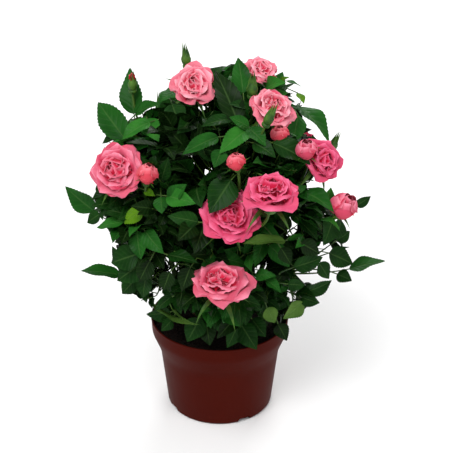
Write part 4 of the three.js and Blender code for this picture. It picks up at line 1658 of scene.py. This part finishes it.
# %% [markdown]
# ## Stalks
#
# Every leaf hangs on its stalk and every flower stands on its own. Hundreds of thin tubes would be
# slow to make one by one as curves, so each is a ring of points led along its bow, and all of them
# are joined into one mesh.

# %% A tube along a bow
TUBE_SIDES = 5
START_SIDE = (0.3, 0.5, 0.8)
QUAD = ((0, 0), (1, 0), (1, 1), (0, 1))


def tube_along(bow, foot, tip, steps, reach=1):
    """A tapering tube along a bow, as far as reach, as a pattern of its own.

    foot and tip are its radii, and each ring is turned no more than the bow bends.
    """
    shares = np.linspace(0, reach, steps + 1)
    middles = np.array([bow.at(share) for share in shares])
    ways = np.gradient(middles, axis=0)
    ways /= np.linalg.norm(ways, axis=1)[:, None]
    side = np.cross(ways[0], START_SIDE)
    places = []
    for middle, way, share in zip(middles, ways, shares):
        side = side - way * side.dot(way)
        side /= np.linalg.norm(side)
        over = np.cross(way, side)
        radius = foot + (tip - foot) * share
        for turn in np.arange(TUBE_SIDES) * 2 * math.pi / TUBE_SIDES:
            places.append(middle + radius * (side * math.cos(turn) + over * math.sin(turn)))
    corners, uvs, counts = [], [], [4] * (steps * TUBE_SIDES)
    for step in range(steps):
        for k in range(TUBE_SIDES):
            after = (k + 1) % TUBE_SIDES
            low, high = step * TUBE_SIDES, (step + 1) * TUBE_SIDES
            corners += [low + k, low + after, high + after, high + k]
            uvs += [((k + x) / TUBE_SIDES, (step + y) / steps) for x, y in QUAD]
    last = steps * TUBE_SIDES
    for ring in (range(TUBE_SIDES - 1, -1, -1), range(last, last + TUBE_SIDES)):
        corners += ring
        uvs += [(0.5, 0.5)] * TUBE_SIDES
        counts.append(TUBE_SIDES)
    arrays = (np.array(part) for part in (places, corners, counts, uvs))
    return SimpleNamespace(**dict(zip(("places", "corners", "counts", "uvs"), arrays)))


# %% Grow the stalks of the leaves
STALK_DARK, STALK_LIGHT = srgb(26, 56, 16), srgb(74, 104, 34)
TWIG_RADII, TWIG_STEPS = (0.8 * MM, 0.5 * MM), 7
PETIOLE_RADII, PETIOLE_STEPS = (0.5 * MM, 0.35 * MM), 4


def paint_stalk(flow):
    place = object_place(flow)
    return {
        "Base Color": place.noise(60, 3).spread(0.3, 0.7).blend(STALK_DARK, STALK_LIGHT),
        "Roughness": place.noise(120, 3) * 0.15 + 0.42,
        "Normal": place.noise(900, 2).bump(0.0002, 0.5),
        "Specular IOR Level": 0.25,
    }


HERE = Matrix.Identity(4)
stalk_paint = material("green_stalk", paint_stalk)
leaf_stalks = Joined("leaf_stalks")
for bow, reach in stalks:
    leaf_stalks.add(tube_along(bow, *TWIG_RADII, TWIG_STEPS, reach), HERE)
for bow in petiole_bows:
    leaf_stalks.add(tube_along(bow, *PETIOLE_RADII, PETIOLE_STEPS), HERE)
leaf_stalks.finish(stalk_paint, "foliage", FOLIAGE_NODES)


# %% Stand the flowers' stalks
CLOSED_DEPTH, OPEN_LOSS = 1.2, 0.45
BLOOM_STALK = (1.3 * MM, 1.2 * MM)
BUD_STALK = (1.1 * MM, 0.9 * MM)
FLOWER_STEPS = 12
FLOWER_BEND = 0.45
UNDER_BLOOM = 1.5 * MM
INTO_BUD = 1 * MM


def bloom_depth(radius, opened):
    """How far the foot of a bloom lies behind its middle: an open one is flatter."""
    return radius * (CLOSED_DEPTH - OPEN_LOSS * opened)


flower_stalks = Joined("flower_stalks")
for flower, (middle, way, radius, opened, _) in BLOOMS.items():
    axis = facing(way)
    end = middle - axis * (bloom_depth(radius, opened) + UNDER_BLOOM)
    bow = stalk_curve(*stations[flower], end, axis, FLOWER_BEND)
    flower_stalks.add(tube_along(bow, *BLOOM_STALK, FLOWER_STEPS), HERE)
for flower, (middle, way, radius, length) in BUDS.items():
    axis = facing(way)
    bow = stalk_curve(*stations[flower], middle - axis * (length * 0.5 - INTO_BUD), axis, FLOWER_BEND)
    flower_stalks.add(tube_along(bow, *BUD_STALK, FLOWER_STEPS), HERE)
flower_stalks.finish(stalk_paint, "foliage", FOLIAGE_NODES)

# %% [markdown]
# ## Blooms
#
# A rose opens in a spiral: each petal stands a golden angle round from the last, the inner ones
# upright and furled, the outer ones leaning further. A bloom could be sculpted in one piece, but
# single petals shade one another as real ones do, and cast the thin dark lines that make a rose.
# The edges of the outer petals roll back on both sides of the tip, which gives a rose its pointed
# corners. Five petal models are enough: four for an open bloom, from the heart outwards, and one
# that wraps round a bloom that is still half closed.

# %% The outline of a petal
CLAW_HALF = 0.22
BROADEST_AT = 0.62
TIP_REACH = 0.43


def petal_width(t):
    """A petal's half width: a narrow claw that widens to a broad round tip."""
    claw = CLAW_HALF + (1 - CLAW_HALF) * math.sin(math.pi / 2 * min(1, t / BROADEST_AT)) ** 0.8
    tip = math.sqrt(max(0, 1 - (max(0, t - BROADEST_AT) / TIP_REACH) ** 2))
    return claw * tip


print("half widths of a petal:", [round(petal_width(eighth / 8), 2) for eighth in range(9)])

# %% Model the petals
PETAL_COLUMNS, PETAL_ROWS = 8, 8
REFLEX_FROM = 0.45
POINT_FROM = 0.4


def model_petal(half, cup, rolls, reflex=0.0, point=0.0, ruffle=0.0):
    """A petal cupped across by cup and rolled row by row.

    reflex rolls its side edges back near the tip, point draws the tip out, ruffle waves the rim.
    """

    def lift(x, t):
        late = max(0, t - REFLEX_FROM) / (1 - REFLEX_FROM)
        wave = ruffle * math.sin(7 * x + 2) * late * late
        return half * (cup * x * x * (1 - late) - reflex * abs(x) ** 2.5 * late) + wave

    def draw(x, t):
        return -point * abs(x) ** 1.6 * max(0, t - POINT_FROM)

    width = lambda t: half * petal_width(t)
    model = model_sheet(PETAL_COLUMNS, PETAL_ROWS, width, lift, rolls, draw, pointed=False)
    return square_up(model, PETAL_COLUMNS, PETAL_ROWS)


# Half width, cup, the roll of each row in degrees, reflex, point and ruffle
petal_models = {
    "heart": model_petal(0.44, 1.3, [0, 6, 12, 14, 14, 12, 8, 0], -1.0, 0.05, 0.02),
    "inner": model_petal(0.5, 1.0, [3, 8, 12, 13, 9, 0, -16, -30], 0.1, 0.1, 0.04),
    "middle": model_petal(0.56, 0.8, [3, 9, 12, 11, 3, -8, -24, -38], 0.36, 0.24, 0.045),
    "outer": model_petal(0.64, 0.6, [2, 8, 12, 9, 0, -14, -30, -44], 0.6, 0.34, 0.05),
    "wrap": model_petal(0.4, 0.66, [-50, 8, 16, 22, 24, 22, 14, -8], -0.62, 0.06, 0.006),
}
print("faces of a petal:", len(petal_models["outer"].counts))

# %% [markdown]
# A petal is deepest in colour at the heart of the bloom and palest along its rim, and the outer
# petals have faded more than the inner ones. The deeper foot of each petal is partly its own colour
# and partly painted shade low in the cup, and the pale rim and its rolled lip are partly its own
# colour and partly a painted highlight, where the rolled edge catches the light. Each petal could
# have a colour of its own, but across the UV map the petals run from the heart, at the left, to the
# outermost, at the right, and up it from foot to rim, so that one colour field paints a whole bloom.
# Light also comes through the thin petals into the folds between them, and a faint glow of the
# petal's own colour stands in for it.

# %% The four pinks
# Heart, foot, body and rim of a petal. The deep foot is partly painted shade, and the pale rim partly a
# painted highlight
PETAL_PINKS = {
    "deep": (srgb(194, 18, 50), srgb(178, 18, 54), srgb(178, 26, 70), srgb(230, 108, 144)),
    "pink": (srgb(204, 32, 60), srgb(184, 26, 54), srgb(182, 38, 72), srgb(234, 138, 160)),
    "pale": (srgb(210, 48, 78), srgb(200, 50, 78), srgb(198, 66, 94), srgb(242, 170, 182)),
    "coral": (srgb(164, 14, 32), srgb(178, 28, 44), srgb(188, 44, 62), srgb(232, 124, 136)),
}
GLOW_THROUGH = 0.05
# How pale the rolled lip of every petal is, partly its own colour and partly a painted highlight,
# and how far the outermost petals have faded
LIP_PALE_AND_HIGHLIGHT = 0.6
FADE = 0.42


# %% Finish the petals
def petal_paint(kind):
    heart, foot, body, rim = PETAL_PINKS[kind]

    def paint(flow):
        place = flow.node("ShaderNodeUVMap", {"uv_map": UV_NAME})
        ring, up = place.part("X"), place.part("Y")
        cloud = place.noise(14, 3)
        creases = place.vector("MULTIPLY", {1: (260, 5, 1)}).noise(1, 2)
        is_outer = (ring + cloud * 0.1).spread(0.15, 0.65)
        # Paler towards the rim and on the rolled lip: partly the petal's own colour, partly a painted
        # highlight
        is_edge = (up + cloud * 0.12 + creases * 0.12).spread(0.9, 1.16)
        is_pale_edge = (ring + cloud * 0.1).spread(0.22, 0.6)
        is_lip_pale_and_highlit = (up + creases * 0.05).spread(0.93, 1.0, 0, LIP_PALE_AND_HIGHLIGHT)
        # Deeper at the foot: partly the petal's own colour, partly painted shade
        blade_with_foot_shade = (up + creases * 0.1).spread(0.35, 0.85).blend(foot, body)
        faded = ring.spread(0.45, 1, 0, FADE).blend(is_outer.blend(heart, blade_with_foot_shade), rim)
        edge = is_pale_edge.blend(body, rim)
        colour = is_lip_pale_and_highlit.blend(is_edge.blend(faded, edge), rim)
        return {
            "Base Color": colour,
            "Emission Color": colour,
            "Emission Strength": GLOW_THROUGH,
            "Roughness": cloud * 0.1 + 0.5,
            "Normal": (creases + cloud * 0.5).bump(0.0003, 0.35),
            "Specular IOR Level": 0.06,
            "Sheen Weight": 0.06,
        }

    return material(f"petal_{kind}", paint)


petal_paints = {kind: petal_paint(kind) for kind in PETAL_PINKS}
print("pinks:", list(petal_paints))

# %% [markdown]
# Setting thirty petals by hand would give a handsome rose, but eighteen of them would look stamped.
# So a rule stands the petals up: each has a ring number, from 0 at the heart to 1 at the outside,
# and the ring says how far the rim spreads and how high it rises, with a little luck each time. A
# half-open bloom is still an egg of a few broad petals wrapped round each other, so it has a rule
# of its own.

# %% Set one petal
# How much of the map's width one petal takes, how far the rings are spread, and the margins
PETAL_STRIP, RING_STRIP, UV_MARGIN = 0.04, 0.94, 0.01


def add_petal(piece, model, ring, base, rim, face, breadth):
    """Sets one petal from its base to its rim, painted by its place in the bloom."""
    length = (rim - base).length
    across = model.uvs[:, 0] * PETAL_STRIP + ring * RING_STRIP + UV_MARGIN
    up = model.uvs[:, 1] * (1 - 2 * UV_MARGIN) + UV_MARGIN
    matrix = frame_matrix(base, rim - base, face, length, length * breadth)
    piece.add(model, matrix, np.stack([across, up], 1))


def first_petal_way(axis):
    """The way from a bloom's axis to its first petal."""
    return square_to(Vector((0.3, 0.9, 0.2)), axis)


# %% An open bloom
FEWEST_PETALS, MORE_PETALS = 15, 15
TWIST_LUCK = 0.15
SPREAD_LUCK = 0.9, 1.08
RISE_LUCK = 0.92, 1.08
BREADTH_LUCK = 0.92, 1.1
# A closed rose spreads this far, in radii, and an open one this much further
CLOSED_SPREAD, OPEN_SPREAD = 0.42, 0.68
HEART_LEAN = 0.02
# The heart rises this far, in depths. The rings rise a little more, and the open ones fall
HEART_RISE, RING_RISE, OPEN_FALL = 1.22, 0.16, 0.72
BASE_SPREAD = 0.1
PETAL_LIMITS = ((0.24, "heart"), (0.5, "inner"), (0.76, "middle"), (1.1, "outer"))
PETAL_BREADTHS = {"heart": 1.0, "inner": 1.0, "middle": 1.05, "outer": 1.08}


def add_open_bloom(piece, middle, axis, radius, opened, draws):
    """An open bloom: rings of petals in a spiral, from the heart outwards."""
    depth = bloom_depth(radius, opened)
    foot = middle - axis * depth
    start = first_petal_way(axis)
    width = CLOSED_SPREAD + OPEN_SPREAD * opened
    count = round(FEWEST_PETALS + MORE_PETALS * opened**3)
    for k in range(count):
        ring = (k + 0.5) / count
        out = Quaternion(axis, k * GOLDEN_ANGLE + draws.between(-TWIST_LUCK, TWIST_LUCK)) @ start
        spread = radius * (width * ring**1.2 - HEART_LEAN) * draws.between(*SPREAD_LUCK)
        height = HEART_RISE + RING_RISE * ring - OPEN_FALL * opened * ring**2.2
        rise = depth * height * draws.between(*RISE_LUCK)
        kind = next(name for limit, name in PETAL_LIMITS if ring < limit)
        base = foot + out * radius * BASE_SPREAD * ring
        rim = foot + out * spread + axis * rise
        breadth = PETAL_BREADTHS[kind] * draws.between(*BREADTH_LUCK)
        add_petal(piece, petal_models[kind], ring, base, rim, -out, breadth)


# %% A half-open bloom
HALF_OPEN = 0.5
WRAPPED_PETALS = 7
# Wrapped petals stand a little skewed round the axis, so that one edge lies over the next petal
WRAP_SKEW = 0.2
EGG_TOP = 1.05
EGG_MOUTH, EGG_BELLY, EGG_OPENING = 0.04, 0.34, 0.9
WRAP_DROP, WRAP_FALL = 0.1, 0.3
WRAP_BASE = 0.12
WRAP_SPREAD_LUCK = 0.95, 1.1
WRAP_RISE_LUCK = 0.96, 1.02
HEART_UP_TO = 0.4
HEART_BREADTH, WRAP_BREADTH = 0.7, 0.95
# Where the wrapped petals begin on the map from heart to outermost petal, and how far they reach
WRAP_RINGS = 0.2, 0.7


def add_half_open_bloom(piece, middle, axis, radius, opened, draws):
    """A bloom that is still an egg: petals wrapped round each other, a dark opening at the top."""
    depth = bloom_depth(radius, opened)
    foot = middle - axis * depth
    start = first_petal_way(axis)
    height = depth + radius * EGG_TOP
    first_ring, rings = WRAP_RINGS
    for k in range(WRAPPED_PETALS):
        ring = (k + 0.5) / WRAPPED_PETALS
        out = Quaternion(axis, k * GOLDEN_ANGLE) @ start
        width = EGG_MOUTH + (EGG_BELLY + EGG_OPENING * opened) * ring
        spread = radius * width * draws.between(*WRAP_SPREAD_LUCK)
        share = 1 - WRAP_DROP * ring - WRAP_FALL * opened * ring**2
        rise = height * share * draws.between(*WRAP_RISE_LUCK)
        kind, breadth = ("heart", HEART_BREADTH) if ring < HEART_UP_TO else ("wrap", WRAP_BREADTH)
        base = foot + out * radius * WRAP_BASE
        rim = foot + out * spread + axis * rise
        face = Quaternion(axis, WRAP_SKEW) @ -out
        add_petal(piece, petal_models[kind], first_ring + ring * rings, base, rim, face, breadth)


# %% The red tip of a bud
TIP_PETALS = 3
TIP_FOOT, TIP_RIM = 0.3, 0.1
TIP_BREADTH = 0.24
TIP_RING = 0.1


def add_bud_tip(piece, middle, axis, radius, length):
    """A few furled petals that just show between the sepals."""
    for k in range(TIP_PETALS):
        out = Quaternion(axis, k * GOLDEN_ANGLE) @ first_petal_way(axis)
        base = middle + out * radius * TIP_FOOT
        rim = middle + axis * length * 0.5 + out * radius * TIP_RIM
        add_petal(piece, petal_models["heart"], TIP_RING, base, rim, -out, TIP_BREADTH)


# %% Put the petals together
petal_draws = Draws(SEED + 5)
petal_pieces = {kind: Joined(f"petals_{kind}") for kind in PETAL_PINKS}
for middle, way, radius, opened, kind in BLOOMS.values():
    add = add_half_open_bloom if opened < HALF_OPEN else add_open_bloom
    add(petal_pieces[kind], middle, facing(way), radius, opened, petal_draws)
middle, way, radius, length = BUDS["upper_left_bud"]
add_bud_tip(petal_pieces["coral"], middle, facing(way), radius, length)
for kind, piece in petal_pieces.items():
    piece.finish(petal_paints[kind], "blooms", FOLIAGE_NODES)

# %% [markdown]
# ## Cups, sepals and buds
#
# Under each bloom sits a small green hip with five pointed sepals. On an open bloom they hang down,
# on a half-open one they stand off, and round a closed bud they stand past its tip like a crown. A
# spun profile would do for the hip, but a ball shaped in edit mode has its closed poles already, and
# the bud comes from the same few lines.

# %% Model the hip, the bud and the sepals
BALL_SIDES = 12
SEPAL_COLUMNS, SEPAL_ROWS = 4, 8
SEPAL_RATIO = 0.26


def model_ball(rings, shaping):
    """A unit ball shaped in edit mode: each step resizes what lies above a level."""
    deselect_all()
    bpy.ops.mesh.primitive_uv_sphere_add(segments=BALL_SIDES, ring_count=rings, radius=1)
    ball = bpy.context.object
    bpy.ops.object.mode_set(mode="EDIT")
    for level, size in shaping:
        pick(ball, lambda _, co: co.z > level)
        bpy.ops.transform.resize(value=size, center_override=(0, 0, level))
    bpy.ops.object.mode_set(mode="OBJECT")
    return read_pattern(ball)


def sepal_width(t):
    """A sepal's half width: broad at the foot, drawn out to a fine tip."""
    return SEPAL_RATIO * (t + 0.02) ** 0.4 * (1 - t) ** 1.5


def model_sepal(cup, rolls):
    lift = lambda x, t: cup * sepal_width(t) * x * x
    sheet = model_sheet(SEPAL_COLUMNS, SEPAL_ROWS, sepal_width, lift, rolls)
    return square_up(sheet, SEPAL_COLUMNS, SEPAL_ROWS)


hip = model_ball(8, [(-0.4, (1.2, 1.2, 1)), (0.5, (0.9, 0.9, 0.4))])
bud = model_ball(10, [(0.1, (0.86, 0.86, 1)), (0.4, (0.8, 0.8, 1)), (0.7, (0.8, 0.8, 1.1))])
sepal_models = {
    "hanging": model_sepal(0.35, [-4, -7, -9, -9, -8, -6, -4, -2]),
    "closed": model_sepal(1.3, [-12, 6, 10, 9, 4, 0, -2, -3]),
}
print("faces of a sepal:", len(sepal_models["closed"].counts))

# %% [markdown]
# Hips and sepals are a lighter, duller green than the leaves, with a soft bloom on the skin. Fine
# noise between two greens is enough at their size.

# %% Finish the sepals, and turn them round an axis
SEPALS = 5
SEPAL_DARK, SEPAL_LIGHT = srgb(26, 66, 20), srgb(78, 116, 36)


def paint_sepal(flow):
    place = object_place(flow)
    return {
        "Base Color": place.noise(150, 3).spread(0.3, 0.7).blend(SEPAL_DARK, SEPAL_LIGHT),
        "Roughness": place.noise(300, 3) * 0.15 + 0.45,
        "Normal": place.noise(1200, 2).bump(0.0002, 0.5),
        "Specular IOR Level": 0.25,
    }


def along_axis(axis):
    """A turn that takes +Z to this axis."""
    return UP.rotation_difference(axis).to_matrix().to_4x4()


def round_axis(axis, k, skew=0.0):
    """The k-th of five ways round an axis, square to it."""
    return Quaternion(axis, k * 2 * math.pi / SEPALS + skew) @ square_to(Vector((1, 0.2, 0.1)), axis)


print("a sepal's green:", [round(part, 3) for part in SEPAL_LIGHT])

# %% Set a hip and its sepals under every bloom
HIP_BY_RADIUS, HIP_AT_LEAST = 0.16, 1.2 * MM
SEPAL_LEAN, LEAN_OPENED, LEAN_LUCK = 40, 85, 14
SEPAL_TWIST = 0.2
SEPAL_BY_RADIUS, SEPAL_MORE, SEPAL_LUCK = 0.8, 7 * MM, (0.7, 1.2)
SEPAL_BREADTH = 0.8

cups = Joined("hips_and_sepals")
sepal_draws = Draws(SEED + 9)
for middle, way, radius, opened, _ in BLOOMS.values():
    axis = facing(way)
    size = radius * HIP_BY_RADIUS + HIP_AT_LEAST
    foot = middle - axis * bloom_depth(radius, opened)
    cups.add(hip, Matrix.Translation(foot - axis * size * 0.5) @ along_axis(axis) @ Matrix.Scale(size, 4))
    for k in range(SEPALS):
        lean = math.radians(SEPAL_LEAN + LEAN_OPENED * opened + sepal_draws.between(-LEAN_LUCK, LEAN_LUCK))
        out = round_axis(axis, k, sepal_draws.between(-SEPAL_TWIST, SEPAL_TWIST))
        run = axis * math.cos(lean) + out * math.sin(lean)
        turned = axis * math.sin(lean) - out * math.cos(lean)
        length = radius * SEPAL_BY_RADIUS + SEPAL_MORE * sepal_draws.between(*SEPAL_LUCK)
        matrix = frame_matrix(foot + out * size * 0.7, run, turned, length, length * SEPAL_BREADTH)
        cups.add(sepal_models["hanging"], matrix)

# %% Set the buds in their sepals
BUD_HALF, BUD_MIDDLE = 0.4, 0.36
BUD_HIP = 0.75
CLOSED_FOOT, CLOSED_TIP = 0.6, 0.3
CLOSED_REACH = 0.55, 0.78
CLOSED_BREADTH = 0.95

for middle, way, radius, length in BUDS.values():
    axis = facing(way)
    foot = middle - axis * length * 0.5
    body = Matrix.Diagonal((radius, radius, length * BUD_HALF, 1))
    cups.add(bud, Matrix.Translation(foot + axis * length * BUD_MIDDLE) @ along_axis(axis) @ body)
    cups.add(hip, Matrix.Translation(foot) @ along_axis(axis) @ Matrix.Scale(radius * BUD_HIP, 4))
    for k in range(SEPALS):
        out = round_axis(axis, k)
        base = foot + out * radius * CLOSED_FOOT
        tip = middle + axis * length * sepal_draws.between(*CLOSED_REACH) + out * radius * CLOSED_TIP
        reach = (tip - base).length
        cups.add(sepal_models["closed"], frame_matrix(base, tip - base, -out, reach, reach * CLOSED_BREADTH))
cups.finish(material("green_sepal", paint_sepal), "foliage", FOLIAGE_NODES)

# %% [markdown]
# ## The floor
#
# The photograph is a cut-out on white. A plain pale floor that runs out of the picture on all sides
# comes near it, and lets the pot stand in a soft shadow. It only stages the part and isn't one of
# its pieces.

# %% Lay the floor
FLOOR_RADIUS = 6
FLOOR_SIDES = 64
FLOOR_WHITE = (0.93, 0.93, 0.93, 1)

deselect_all()
bpy.ops.mesh.primitive_circle_add(vertices=FLOOR_SIDES, radius=FLOOR_RADIUS, fill_type="NGON")
floor = bpy.context.object
floor.name = "floor"
finish_place(floor)


def paint_floor(flow):
    return {"Base Color": FLOOR_WHITE, "Roughness": 0.9, "Specular IOR Level": 0.1}


floor.data.materials.append(material("pale_floor", paint_floor))
print("floor:", 2 * FLOOR_RADIUS, "m across")
